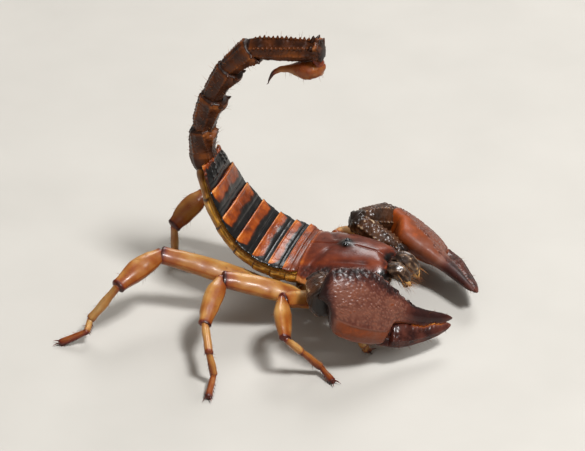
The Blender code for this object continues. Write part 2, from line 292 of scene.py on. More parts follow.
def column_at(turn, columns):
    """The column of a round sheet at an angle."""
    return round(turn % (2 * math.pi) / (2 * math.pi) * columns) % columns


def fill_gaps(table):
    """Gives each missing number the nearest one in its column."""
    for column in table.T:
        known = np.flatnonzero(~np.isnan(column))
        if len(known):
            column[:] = np.interp(np.arange(len(column)), known, column[known])
    return np.nan_to_num(table, nan=float(np.nanmean(table)))


def walls(tree, path, across, upright, columns, blur):
    """Radii of a solid all round each point of a path, with its facets rounded off."""
    table = []
    for centre, side, top in zip(path, across, upright):
        _, ways = round_directions(side, top, columns)
        table.append([hit(tree, centre, way) for way in ways])
    table = fill_gaps(np.array(table))
    table = soften(table, blur[0])
    return soften(table.T, blur[1], wrap=True).T * FACET_FILL


# ---------------------------------------------------------------- making meshes
class Form:
    """Gathers closed tubes into one mesh. Marks are numbers on the points for the materials."""

    def __init__(self):
        self.points, self.faces, self.marks = [], [], []
        self.count = 0

    def sheet(self, grid, flip=False, **marks):
        """A grid of points, rows by columns, as a tube with closed ends."""
        rows, columns = grid.shape[:2]
        index = np.arange(rows * columns).reshape(rows, columns)
        right = np.roll(index, -1, 1)
        faces = np.stack((index[:-1], right[:-1], right[1:], index[1:]), -1).reshape(-1, 4).tolist()
        faces += [[b, a, rows * columns] for a, b in zip(index[0].tolist(), right[0].tolist())]
        faces += [[a, b, rows * columns + 1] for a, b in zip(index[-1].tolist(), right[-1].tolist())]
        self.faces += [[i + self.count for i in face[::-1 if flip else 1]] for face in faces]
        self.points.append(np.vstack((grid.reshape(-1, 3), grid[0].mean(0), grid[-1].mean(0))))
        full = {name: np.broadcast_to(mark, (rows, columns)) for name, mark in marks.items()}
        self.marks.append({name: np.append(mark, mark[[0, -1], 0]) for name, mark in full.items()})
        self.count += rows * columns + 2

    def make(self, name, material, slot, *replaced):
        """The finished piece: it rides the one body and stands for some nodes. Its slot argument is not
        used.
        """
        mesh = bpy.data.meshes.new(name)
        points = np.vstack(self.points) * MM
        points[:, 2] = np.maximum(points[:, 2], 0)
        mesh.from_pydata(points.tolist(), [], self.faces)
        for mark in sorted(set().union(*self.marks)):
            parts = [own.get(mark, np.zeros(len(part))) for own, part in zip(self.marks, self.points)]
            layer = mesh.attributes.new(mark, "FLOAT", "POINT")
            layer.data.foreach_set("value", np.concatenate(parts).astype(np.float32))
        mesh.validate()
        mesh.shade_smooth()
        mesh.materials.append(material)
        piece = bpy.data.objects.new(name, mesh)
        bpy.context.scene.collection.objects.link(piece)
        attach(piece, "root")
        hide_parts(*replaced)
        return piece


TIP_SHARE = 0.08  # a tooth's tip is this wide, as a share of its root


def spike(form, root, way, length, width, bend=(0, 0, 0), sides=5, steps=5, **marks):
    """A tapering tooth, claw or bristle from root, drawn towards bend at its tip."""
    way = unit(np.asarray(way, float))
    side = unit(np.cross(way, UP + 0.013 * LEFT + 0.007 * AHEAD))
    _, ways = round_directions(side, np.cross(way, side), sides)
    rows = []
    for t in np.linspace(0, 1, steps):
        middle = root + way * length * t + np.asarray(bend, float) * length * t * t
        rows.append(middle + width / 2 * ((1 - t) ** 0.75 * (1 - TIP_SHARE) + TIP_SHARE) * ways)
    form.sheet(np.array(rows), **marks)


def dome(form, centre, up, radius, height, columns, rows, **marks):
    """A smooth round cap on a base, such as an eye."""
    side = unit(np.cross(up, AHEAD + 0.01 * LEFT))
    _, ways = round_directions(side, np.cross(up, side), columns)
    grid = [centre + ways * radius * math.cos(a) + up * height * math.sin(a)
            for a in np.linspace(-0.6, math.pi / 2 * 0.94, rows)]
    form.sheet(np.array(grid), **marks)


class Bristles:
    """Many thin hairs in one mesh, each with a small patch of its own on the skin's unwrap."""

    PATCH = 0.003
    TILES = 8  # the unwrap is a square of TILES by TILES panels, one for each plate or segment

    def __init__(self, seed):
        self.form, self.places = Form(), []
        self.random = random.Random(seed)

    def grow(self, root, way, length, width, panel, place, bend=(0, 0, 0), **marks):
        before = self.form.count
        spike(self.form, root, way, length, width, bend, sides=4, steps=4, **marks)
        corner = np.array((panel % self.TILES, panel // self.TILES % self.TILES))
        middle = (corner + 0.05 + 0.9 * np.clip(place, 0, 1)) / self.TILES
        self.places += [middle] * (self.form.count - before)

    def make(self, name, material, slot):
        piece = self.form.make(name, material, slot)
        mesh = piece.data
        unwrap = mesh.uv_layers.new(name="OFBake")
        points = np.array([vertex.co for vertex in mesh.vertices])
        index = np.zeros(len(mesh.loops), int)
        mesh.loops.foreach_get("vertex_index", index)
        spread = (points * 7919) % 1.0 - 0.5
        uv = np.array(self.places)[index] + spread[index][:, :2] * self.PATCH
        unwrap.data.foreach_set("uv", uv.astype(np.float32).reshape(-1))
        return piece


# ---------------------------------------------------------------- materials
def linear(hex_colour):
    """An sRGB hex colour as the linear one that shaders use."""
    parts = [int(hex_colour[i:i + 2], 16) / 255 for i in (1, 3, 5)]
    return (*[p / 12.92 if p <= 0.04045 else ((p + 0.055) / 1.055) ** 2.4 for p in parts], 1.0)


def add(tree, kind, inputs=None, stops=None, **settings):
    """Adds a node: its settings, its inputs as values or sockets, and a ramp's stops."""
    node = tree.nodes.new(kind)
    for key, value in settings.items():
        setattr(node, key, value)
    if stops:
        elements = node.color_ramp.elements
        for element, (place, colour) in zip((elements[0], elements[1]), (stops[0], stops[-1])):
            element.position, element.color = place, linear(colour)
        for place, colour in stops[1:-1]:
            elements.new(place).color = linear(colour)
    for key, value in (inputs or {}).items():
        if isinstance(value, bpy.types.NodeSocket):
            tree.links.new(value, node.inputs[key])
        else:
            node.inputs[key].default_value = value
    return node


def cuticle(name, stops, gloss, dull, blotch=0.9, blotch_share=0.14, grain=0.16, relief=0.012,
            coat=0.3, shine=0.26, inner_light=0.0):
    """Scorpion shell: layered chitin under wax. Sizes are millimetres.

    The piece's tone mark picks the colour along stops and its matt mark goes from gloss to dull.
    Pores and fine grain are about 0.02 across in life and are drawn several times coarser, so that
    they show.
    """
    made = bpy.data.materials.new(name)
    made.use_nodes = True
    tree = made.node_tree
    shader = tree.nodes["Principled BSDF"]
    place = add(tree, "ShaderNodeTexCoord").outputs["Object"]
    tone = add(tree, "ShaderNodeAttribute", attribute_name="tone").outputs["Fac"]
    matt = add(tree, "ShaderNodeAttribute", attribute_name="matt").outputs["Fac"]
    clouds = add(tree, "ShaderNodeTexNoise", {"Vector": place, "Scale": 1 / (blotch * MM), "Detail": 5.0,
                                              "Roughness": 0.6}).outputs["Fac"]
    centred = add(tree, "ShaderNodeMath", {0: clouds, 1: 0.5}, operation="SUBTRACT").outputs[0]
    mixed = add(tree, "ShaderNodeMath", {0: centred, 1: 2 * blotch_share, 2: tone},
                operation="MULTIPLY_ADD").outputs[0]
    ramp = add(tree, "ShaderNodeValToRGB", {"Fac": mixed}, stops)
    tree.links.new(ramp.outputs["Color"], shader.inputs["Base Color"])
    fine = add(tree, "ShaderNodeTexNoise", {"Vector": place, "Scale": 1 / (grain * MM), "Detail": 3.0})
    pits = add(tree, "ShaderNodeTexVoronoi", {"Vector": place, "Scale": 0.6 / (grain * MM)})
    height = add(tree, "ShaderNodeMath", {0: pits.outputs["Distance"], 1: 0.6, 2: fine.outputs["Fac"]},
                 operation="MULTIPLY_ADD").outputs[0]
    swing = add(tree, "ShaderNodeMapRange", {"Value": matt, "To Min": gloss, "To Max": dull}).outputs[0]
    rough = add(tree, "ShaderNodeMath", {0: centred, 1: 0.25, 2: swing}, operation="MULTIPLY_ADD")
    tree.links.new(rough.outputs[0], shader.inputs["Roughness"])
    lift = add(tree, "ShaderNodeBump", {"Height": height, "Strength": 0.7, "Distance": relief * MM})
    tree.links.new(lift.outputs["Normal"], shader.inputs["Normal"])
    shader.inputs["IOR"].default_value = 1.55
    shader.inputs["Coat Weight"].default_value = coat
    shader.inputs["Coat Roughness"].default_value = 0.16
    shader.inputs["Specular IOR Level"].default_value = shine
    if inner_light:
        shader.inputs["Subsurface Weight"].default_value = inner_light
        shader.inputs["Subsurface Radius"].default_value = (1.0, 0.42, 0.12)
        shader.inputs["Subsurface Scale"].default_value = 0.9 * MM
    return made


# Head shield: polished red-brown chitin, nearly black at the eyes and rim, orange at its rear edge.
head_chitin = cuticle("polished_red_brown_chitin", (
    (0.0, "#0a0605"), (0.2, "#210b06"), (0.45, "#501d0e"), (0.65, "#702f13"), (0.85, "#964a16"),
    (1.0, "#cc8c4c")), gloss=0.3, dull=0.5, blotch=1.3, blotch_share=0.24, coat=0.14)
# Back plates: blue-black chitin in front, and a waxy orange band that catches broad highlights.
back_chitin = cuticle("banded_black_orange_chitin", (
    (0.0, "#07080b"), (0.25, "#12100f"), (0.42, "#341206"), (0.6, "#7c3204"), (0.8, "#a2500a"),
    (1.0, "#d08a46")), gloss=0.26, dull=0.5, blotch_share=0.16, coat=0.16)
# Hands: matt pebbled chitin above, smooth amber-brown chitin on the sides, almost black fingers.
hand_chitin = cuticle("pebbled_hand_chitin", (
    (0.0, "#0e0708"), (0.2, "#280d0a"), (0.4, "#50261c"), (0.58, "#704435"), (0.74, "#6a2c04"),
    (0.86, "#8c3c04"), (1.0, "#d0954c")), gloss=0.24, dull=0.52, grain=0.2, relief=0.02, coat=0.05)
# Upper arms: dull olive-black chitin, with paler granules along their keels, partly their own colour and
# partly painted glints.
arm_chitin = cuticle("olive_black_chitin", (
    (0.0, "#0a0605"), (0.3, "#26160c"), (0.55, "#482a17"), (0.8, "#6f5238"), (1.0, "#b09a7c")),
    gloss=0.26, dull=0.5, grain=0.22, relief=0.02, coat=0.15)
# Tail: dark brown horn, glossy between rough keels.
tail_chitin = cuticle("dark_tail_chitin", (
    (0.0, "#0b0503"), (0.3, "#240e04"), (0.55, "#472108"), (0.8, "#6f390f"), (1.0, "#935c28")),
    gloss=0.28, dull=0.5, grain=0.2, relief=0.012, coat=0.05, shine=0.2)
# Legs and poison bulb: thin clear chitin over pale flesh, so light soaks in and comes out amber.
amber_chitin = cuticle("translucent_amber_chitin", (
    (0.0, "#2a0904"), (0.2, "#621e09"), (0.42, "#824314"), (0.62, "#a06d34"), (0.82, "#b8915a"),
    (1.0, "#d6b083")), gloss=0.29, dull=0.52, blotch=1.6, blotch_share=0.16, coat=0.18, inner_light=0.2)
# Underside: soft leathery membrane in fine folds, yellow-brown, with smooth belly plates.
soft_skin = cuticle("leathery_membrane", (
    (0.0, "#241206"), (0.3, "#52300c"), (0.6, "#88540f"), (0.85, "#ad7a22"), (1.0, "#d2a45c")),
    gloss=0.42, dull=0.6, blotch=1.2, grain=0.25, relief=0.025, coat=0.05, inner_light=0.1)
# Jaws: grey-brown chitin, painted paler on its lumps and ribs as highlights, with golden edges and prongs.
jaw_chitin = cuticle("jaw_chitin_painted_highlights", (
    (0.0, "#100906"), (0.3, "#35241a"), (0.55, "#66503f"), (0.8, "#9c7a52"), (1.0, "#d8a458")),
    gloss=0.24, dull=0.45, blotch=0.6, coat=0.15)
# Eyes: clear lens over black pigment, a small hard highlight and no texture to speak of.
lens = cuticle("black_eye_lens", ((0.0, "#020203"), (0.5, "#07080a"), (1.0, "#4c545c")),
               gloss=0.1, dull=0.4, relief=0.0005, coat=0.5)
# Bristles: fine golden-brown hairs of clear chitin.
bristle = cuticle("golden_bristle", ((0.0, "#3b1a0c"), (0.5, "#8a4f22"), (1.0, "#d39a55")),
                  gloss=0.3, dull=0.5, coat=0.0)


# ---------------------------------------------------------------- a length of limb
MEASURED = (0.14, 0.86, 9)  # a segment's solid is measured at nine places between these shares of it


def segment(form, start, end, up, tree, paint, rows, columns, ends, waist=None, bow=0.0, relief=None):
    """One limb segment from joint to joint, as wide as its solid, with rounded ends.

    ends says how far each rounded end reaches past its joint. waist(t) scales the section,
    relief(t, angle, places) adds height, and paint(t, angle, places, relief) gives the marks.
    The angle is a quarter turn at the upper side.
    """
    run = end - start
    length, ahead = np.linalg.norm(run), unit(run)
    across = unit(np.cross(up, ahead))
    upright = np.cross(ahead, across)
    stations = np.linspace(*MEASURED)
    path = [start + run * t for t in stations]
    count = len(path)
    table = walls(tree, path, [across] * count, [upright] * count, columns, (1, columns * 0.09))
    turn = np.linspace(0.12, math.pi / 2, 7)[:-1]
    offset = np.concatenate((-ends[0] * np.cos(turn), np.linspace(0, length, rows),
                             length + ends[1] * np.cos(turn[::-1])))
    scale = np.concatenate((np.sin(turn), np.ones(rows), np.sin(turn[::-1])))
    t = np.clip(offset / length, 0, 1)
    radii = at_rows(t, stations, table)
    if waist:
        radii = radii * waist(t)[:, None]
    angle, ways = round_directions(across, upright, columns)
    middle = start + ahead * offset[:, None] + upright * (bow * length * np.sin(math.pi * t))[:, None]
    grid = middle[:, None] + ways[None] * (radii * scale[:, None])[:, :, None]
    t_grid, angle_grid = np.meshgrid(t, angle, indexing="ij")
    added = relief(t_grid, angle_grid, grid) * scale[:, None] if relief else np.zeros_like(t_grid)
    grid = grid + ways[None] * added[:, :, None]
    grid[:, :, 2] = np.maximum(grid[:, :, 2], 0)
    form.sheet(grid, **paint(t_grid, angle_grid, grid, added))
    return grid


# ---------------------------------------------------------------- trunk
def middle_points(node):
    """A node's corners on the animal's middle plane, from front to rear."""
    points, _ = corners_and_faces(node)
    on = points[np.abs(points[:, 1] - MIDDLE_Y) < 0.01]
    return np.unique(np.round(on, 3), axis=0)[::-1]


MIDDLE_Y = sum(corner.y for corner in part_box("carapace")) / 2 / MM
PLATES = [f"back_plate_{n}" for n in range(1, 8)]
PLATE_ROWS = 58  # before the rear lip
PLATE_ARCH = (-0.06, math.pi + 0.06, 131)  # from side to side over the back: turns and columns
PLATE_SHARE = 0.34  # of the trunk's height
PLATE_THICKNESS = 0.35
PLATE_EDGE = 0.55  # the plates' side edges are this far above the seam with the belly
FLANK_LIFT = 0.4  # the soft flank is this much taller than the solid's
LIP_ALONG = (1.02, 1.045, 1.05, 1.03)  # the rear lip rolls over and under, in shares of a plate
LIP_DROP = (0.0, 0.07, 0.17, 0.26)
SEAM_STEPS = 40


def trunk_rows():
    """From seam to seam between the back plates: belly point, crest point and half width."""
    belly = middle_points("belly")
    crests = [middle_points(node) for node in PLATES]
    crest = np.array([own[0] for own in crests] + [crests[-1][-1]])
    tree = solids("belly")
    rows = []
    for low, high in zip(belly, crest):
        inside = low + (high - low) * 0.55
        inside[0] += 0.01
        rows.append((*low, *high, np.nanmean([hit(tree, inside, way) for way in (LEFT, -LEFT)])))
    return smooth_curve(rows, SEAM_STEPS * (len(rows) - 1) + 1)


TRUNK = trunk_rows()


def trunk_at(share):
    """Belly point, unit vector up to the crest, height and half width, share plates back."""
    row = [np.interp(share * SEAM_STEPS, np.arange(len(TRUNK)), column) for column in TRUNK.T]
    low, high = np.array(row[:3]), np.array(row[3:6])
    if share > 7 or share < 0:
        step = TRUNK[-1] - TRUNK[-SEAM_STEPS // 2] if share > 7 else TRUNK[SEAM_STEPS // 2] - TRUNK[0]
        over = (share - 7 if share > 7 else share) * 2
        low, high = low + step[:3] * over, high + step[3:6] * over
    return low, unit(high - low), np.linalg.norm(high - low), row[6]


def flank_lift(share):
    """How much more of the pleated flank shows below the plates, share plates back."""
    return FLANK_LIFT * rise(share, 0.0, 1.0) * (1 - rise(share, 5.0, 6.4))


def plate_sheet(number):
    """A bare plate: its points, the way out at each, how far along and round each is, and its top."""
    arch = np.linspace(*PLATE_ARCH)
    inner = arch[::-2]
    angles = np.concatenate((arch, inner))
    along = np.concatenate((np.linspace(-0.22, 0.98, PLATE_ROWS), LIP_ALONG))
    drop = np.concatenate((np.zeros(PLATE_ROWS), LIP_DROP))
    grid, outward = [], []
    for s, fall in zip(along, drop):
        low, up, height, half = trunk_at(number + s)
        seam = height * (1 - PLATE_SHARE) + PLATE_EDGE + flank_lift(number + s)
        stand = -0.16 + 0.36 * rise(s, -0.1, 0.55) - fall
        loop = []
        for turn, thick in ((arch, 0.0), (inner, PLATE_THICKNESS - fall)):
            wide = half + 0.1 + stand - thick
            high = height - seam + stand - thick
            loop.append(low + LEFT * (np.cos(turn) * wide)[:, None]
                        + up * (seam + np.sin(turn) * high)[:, None])
        grid.append(np.concatenate(loop))
        outward.append(LEFT * np.cos(angles)[:, None] + up * np.sin(angles)[:, None])
    s, a = np.meshgrid(along, angles, indexing="ij")
    return np.array(grid), np.array(outward), s, a, (np.arange(len(angles)) < len(arch))[None, :]


def make_back_plates():
    """Seven arched plates. Each dives under the one before and ends in a rolled lip over the next."""
    for number, node in enumerate(PLATES):
        last = node == PLATES[-1]
        grid, outward, s, a, top = plate_sheet(number)
        side = np.abs(np.cos(a))
        above = np.sin(a) > 0
        fine = cells(grid, 0.42, seed=number) * rise(s, 0.25, 0.8)
        push = fine * (0.05 if last else 0.02) * (1 + 0.6 * side)
        push += 0.04 * bump(a, math.pi / 2, 0.05) * rise(s, 0.3, 0.6)  # the low middle keel
        if last:
            beads = 0.5 + 0.5 * np.cos(s * 30)
            for turn in (0.85, 1.2, math.pi - 1.2, math.pi - 0.85):
                push += (0.12 + 0.16 * beads) * bump(a, turn, 0.04) * rise(s, 0.2, 0.45)
        push += 0.05 * drift(grid, 1.6, number) * above  # shallow dents
        push -= 0.08 * bump(s, 0.3, 0.05) * above  # the groove across the plate
        push += 0.07 * bump(s, 0.98, 0.05)  # the rolled rear edge
        grid += outward * (push * top)[:, :, None]
        edge = s + 0.035 * drift(grid, 0.8, 3 + number) - 0.1 * bump(a, math.pi / 2, 0.3)
        if last:
            tone = 0.06 + 0.12 * rise(edge, 0.55, 0.8) + 0.34 * rise(edge, 0.84, 0.97) + 0.2 * fine
            tone += 0.3 * rise(side, 0.9, 0.98)
        else:
            corner = 0.99 - 0.11 * (1 - rise(s, 0.45, 0.9)) + 0.012 * drift(grid, 1.1, 9)
            band = rise(edge, 0.35, 0.6) * (1 - rise(side, corner - 0.07, corner))
            dark = 0.06 if number else 0.5  # the first plate is brown in front, the others black
            brighter = 0.1 * fine * side + 0.2 * rise(side, 0.5, 0.9) * rise(s, 0.6, 0.9)
            tone = dark + band * (0.58 - dark + brighter) + 0.08 * band * drift(grid, 1.2, 12)
            tone += 0.26 * bump(s, 1.01, 0.025) * (1 - rise(side, 0.96, 0.99))
        matt = (0.25 if number else 0.6) + 0.4 * fine
        form = Form()
        form.sheet(grid, flip=True, tone=np.clip(tone, 0.03, 0.97), matt=matt)
        form.make(f"back_shell_{number + 1}", back_chitin, "banded_shell", node)


def make_skin():
    """The soft underside: belly plates with pleated sides, and the flesh that carries the legs."""
    form = Form()
    add_belly(form)
    add_leg_block(form)
    form.make("soft_skin", soft_skin, "soft_belly", "belly", "leg_bases")


BELLY_ROWS, BELLY_COLUMNS = 300, 160


def add_belly(form):
    """The belly, from under the head shield to inside the tail, one hard plate to each back plate."""
    angle = 2 * math.pi * np.arange(BELLY_COLUMNS) / BELLY_COLUMNS
    share = np.linspace(-0.9, 7.0, BELLY_ROWS)
    grid = []
    for s in share:
        low, up, height, half = trunk_at(s)
        seam = height * (1 - PLATE_SHARE) + flank_lift(s)
        above = height * PLATE_SHARE * 0.55 - 0.6 * flank_lift(s)
        reach = np.where(np.sin(angle) < 0, seam, above)
        shrink = 1 - 0.2 * rise(s, 5.4, 6.8) - 0.35 * rise(s, 6.5, 7.0)  # narrows to go inside the tail
        grid.append(low + LEFT * (np.cos(angle) * (half * 1.01 - 0.05) * shrink)[:, None]
                    + up * (seam + np.sin(angle) * reach * shrink)[:, None])
    grid = np.array(grid)
    s, a = np.meshgrid(share, angle, indexing="ij")
    level = np.sin(a)
    under = rise(-level, 0.14, 0.2)
    plate = (s + 0.15) % 1.0
    pleat = bump(level, -0.02, 0.16)
    folds = 0.05 * np.cos(s * 2 * math.pi * 3.0) + 0.05 * np.cos(level * 40)
    push = 0.13 * under * (rise(plate, 0.0, 0.85) - 1.0 * rise(plate, 0.95, 1.0))
    push += 0.2 * under + pleat * (folds - 0.14) + 0.03 * drift(grid, 0.9)
    outward = grid - grid.mean(1, keepdims=True)
    outward /= np.linalg.norm(outward, axis=2, keepdims=True)
    grid = grid + outward * push[:, :, None]
    slit = bump(plate, 0.55, 0.07) * bump(np.abs(np.cos(a)), 0.62, 0.05)  # breathing slits
    slit *= under * (s > 1.8) * (s < 6)
    tone = 0.64 + 0.12 * under + 0.06 * pleat + 0.12 * drift(grid, 1.0, 5) - 0.55 * slit
    tone += (0.12 * bump(plate, 0.8, 0.1) - 0.4 * bump(plate, 0.97, 0.045)) * under
    tone -= 0.3 * bump(plate, 0.97, 0.06) * rise(-level, 0.0, 0.1)
    # painted shadow: a dark line just under the back plates' side edges; the belly also darkens where it
    # goes into the tail
    tone -= 0.4 * bump(level, 0.04, 0.07) + 0.4 * rise(s, 6.2, 6.7)
    tone += 0.25 * bump(level, -0.12, 0.03) * (1 - rise(s, 6.7, 6.9))
    form.sheet(grid, flip=True, tone=tone, matt=0.2 + 0.6 * pleat)


def add_leg_block(form):
    """The block that the legs grow from, with hard brown mouth parts in front, parted by grooves."""
    low, high = box("leg_bases")
    rows, columns = 60, 96
    x = np.linspace(low[0] + 0.15, high[0] - 0.15, rows)
    z = np.interp(x, (low[0], high[0]), (low[2] + 0.7, high[2] - 1.1))
    path = np.stack((x, np.full(rows, MIDDLE_Y), z), -1)
    radii = walls(solids("leg_bases"), path, [-LEFT] * rows, [UP] * rows, columns, (2, 3))
    rounding = np.sin(np.clip(np.linspace(0.15, 12, rows), 0, math.pi / 2))[:, None]
    radii *= rounding * rounding[::-1]
    _, ways = round_directions(-LEFT, UP, columns)
    grid = path[:, None] + ways[None] * radii[:, :, None]
    mouth = rise(grid[:, :, 0], high[0] - 3.2, high[0] - 1.2)
    aside = np.abs(grid[:, :, 1] - MIDDLE_Y)
    parting = (bump(aside, 0, 0.16) + bump(aside, 1.5, 0.14) + bump(aside, 2.9, 0.14)) * mouth
    grid += (0.05 * drift(grid, 1.2, 8) - 0.22 * parting + 0.12 * mouth)[:, :, None] * ways[None]
    tone = 0.6 - 0.26 * mouth - 0.3 * parting + 0.1 * drift(grid, 0.8, 4)
    form.sheet(grid, tone=np.clip(tone, 0.03, 0.95), matt=0.5 - 0.3 * mouth)


# ---------------------------------------------------------------- head
HEAD_ROWS, HEAD_COLUMNS = 170, 181


def head_sections():
    """The head shield's solid: rows, turns over it, its floor at each row, and its radii from there."""
    low, high = box("carapace")
    tree = solids("carapace")
    stations = np.linspace(low[0] + 0.05, high[0] - 0.05, 48)
    angle = np.linspace(0, math.pi, 61)
    ways = LEFT * np.cos(angle)[:, None] + UP * np.sin(angle)[:, None]
    floors, table = [], []
    for x in stations:
        crown = np.array((x, MIDDLE_Y, high[2] - 1.3))
        floors.append(crown[2] - hit(tree, crown, -UP))
        foot = np.array((x, MIDDLE_Y, floors[-1] + 0.02))
        table.append([hit(tree, foot, way) for way in ways])
    table = soften(soften(fill_gaps(np.array(table)), 3).T, 3).T
    x = np.linspace(stations[0], stations[-1], HEAD_ROWS)
    turns = np.linspace(0, math.pi, HEAD_COLUMNS)
    floor = np.interp(x, stations, soften(np.array(floors)[:, None], 2)[:, 0])
    radii = np.array([np.interp(turns, angle, row) for row in table])
    return x, turns, floor, at_rows(x, stations, radii) * 1.005


def make_carapace():
    """The head shield: a smooth ridge with a furrow, a low eye hill, and pebbled sides."""
    x, turns, base, radii = head_sections()
    share = (x - x[0]) / (x[-1] - x[0])
    l, a = np.meshgrid(share, turns, indexing="ij")
    y = radii * np.cos(a)
    off = np.abs(y) / radii[:, :1]
    eye_low, eye_high = box("eye_left")
    eye = ((eye_low[0] + eye_high[0]) / 2 - x[0]) / (x[-1] - x[0])
    places = np.stack((np.broadcast_to(x[:, None], l.shape), y, radii * np.sin(a)), -1)
    hill = np.exp(-(((l - eye) / 0.075) ** 2) - (y / 0.95) ** 2)
    furrow = bump(y, 0, 0.2) * (rise(l, eye + 0.07, eye + 0.14) + 0.8 * rise(eye - 0.06 - l, 0, 0.08))
    curve = 0.30 - 0.24 * off**1.3
    rear_furrow = bump(l, curve, 0.04) * rise(off, 0.1, 0.25) * (1 - rise(off, 0.8, 0.95))
    side_furrow = bump(off, 0.66 - 0.12 * l, 0.05) * rise(l, 0.3, 0.42) * (1 - rise(l, 0.72, 0.82))
    lobe = bump(off, 0.45, 0.22) * bump(l, 0.86, 0.11)
    flank = rise(off, 0.67, 0.83)
    front = rise(l, 0.88, 0.96)
    pebble = cells(places, 0.42) * (0.25 + flank + 0.6 * front)
    rim = rise(off, 0.975, 0.995) + 0.7 * rise(l, 0.975, 0.995) + 0.9 * rise(-l, -0.035, -0.01)
    push = 0.28 * hill - 0.14 * furrow - 0.17 * rear_furrow - 0.1 * side_furrow + 0.14 * lobe
    push += 0.055 * pebble * flank + 0.012 * pebble + 0.08 * rim + 0.05 * drift(places, 2.2)
    notch = 0.75 * bump(y, 0, 1.1) * rise(l, 0.75, 1.0)
    ends = np.sqrt(np.clip(1 - ((np.maximum(share, 0.97) - 0.97) / 0.031) ** 2, 0.2, 1))[:, None]
    radii = (radii + push) * (0.35 + 0.65 * ends)
    shell = np.stack((x[:, None] - notch, MIDDLE_Y + radii * np.cos(a),
                      base[:, None] + radii * np.sin(a) - 0.12 * rise(off, 0.97, 1)), -1)
    inward = np.linspace(1, -1, 30)[1:-1][::-1]
    floor_y = MIDDLE_Y - radii[:, -1:] * inward
    floor = np.stack((np.broadcast_to(x[:, None], floor_y.shape), floor_y,
                      np.broadcast_to(base[:, None] + 0.2, floor_y.shape)), -1)

    tone = 0.5 - 0.06 * hill + 0.12 * lobe - 0.12 * bump(y, 0, 1.6) * bump(l, eye, 0.25)
    tone -= 0.32 * flank * (1 - rise(off, 0.93, 0.99))
    tone += 0.12 * flank * pebble
    tone += 0.3 * rise(off, 0.93, 0.99) * (1 - rise(l, 0.6, 0.8)) + 0.2 * (1 - rise(l, 0.02, 0.06))
    tone += 0.2 * (1 - rise(l, 0.12, 0.3)) * rise(off, 0.5, 0.8)
    tone -= 0.3 * bump(y, 0, 0.8) * rise(l, 0.93, 0.98) + 0.42 * rise(l, 0.84, 0.92) * rise(off, 0.72, 0.9)
    tone += front * (0.16 * rise(pebble, 0.2, 0.5) - 0.24 + 0.2 * drift(places, 1.0, 14))
    black = np.exp(-(((l - eye) / 0.075) ** 2) - (y / 0.85) ** 2)  # pigment round the middle eyes
    tone -= 0.5 * black + 0.1 * side_furrow + 0.12 * rear_furrow
    plain = np.full(floor_y.shape, 0.4)
    form = Form()
    form.sheet(np.concatenate((shell, floor), 1), flip=True,
               tone=np.concatenate((np.clip(tone, 0.02, 0.95), plain), 1),
               matt=np.concatenate((0.1 + 0.8 * flank, plain), 1))
    form.make("head_shield", head_chitin, "reddish_shell", "carapace")


def make_eyes():
    """Two middle eyes in pale rims, and three small ones at each front corner."""
    tree = BVHTree.FromObject(bpy.data.objects["head_shield"], bpy.context.evaluated_depsgraph_get())

    def surface(x, y):
        found = tree.ray_cast(Vector((x * MM, y * MM, 0.05)), Vector((0, 0, -1)))
        return np.array(found[0]) / MM, np.array(found[1])

    front = box("carapace")[1][0]
    for side, sign in SIDES.items():
        form = Form()
        low, high = box(f"eye_{side}")
        middle, radius = (low + high) / 2, (high[0] - low[0]) / 2
        base = surface(middle[0], middle[1])[0]
        out = unit(UP + LEFT * sign * 0.75)
        dome(form, base - out * 0.06, out, radius * 1.12, radius * 0.34, 32, 8, tone=0.7, matt=0.8)
        dome(form, base, out, radius * 0.86, radius * 0.72, 32, 12, tone=0.05, matt=0.0)
        for i in range(3):
            spot, normal = surface(front - 0.75 - 0.42 * i, MIDDLE_Y + sign * (3.2 + 0.2 * i))
            dome(form, spot - normal * 0.04, normal, 0.17 - 0.02 * i, 0.14, 16, 7, tone=0.2, matt=0.0)
        form.make(f"eye_lens_{side}", lens, "eye_black", f"eye_{side}")


JAW_BRISTLES = 90
JAW_DRAWN_IN = {"left": 0.6, "right": 0.9}  # both are held a little back, the right one more


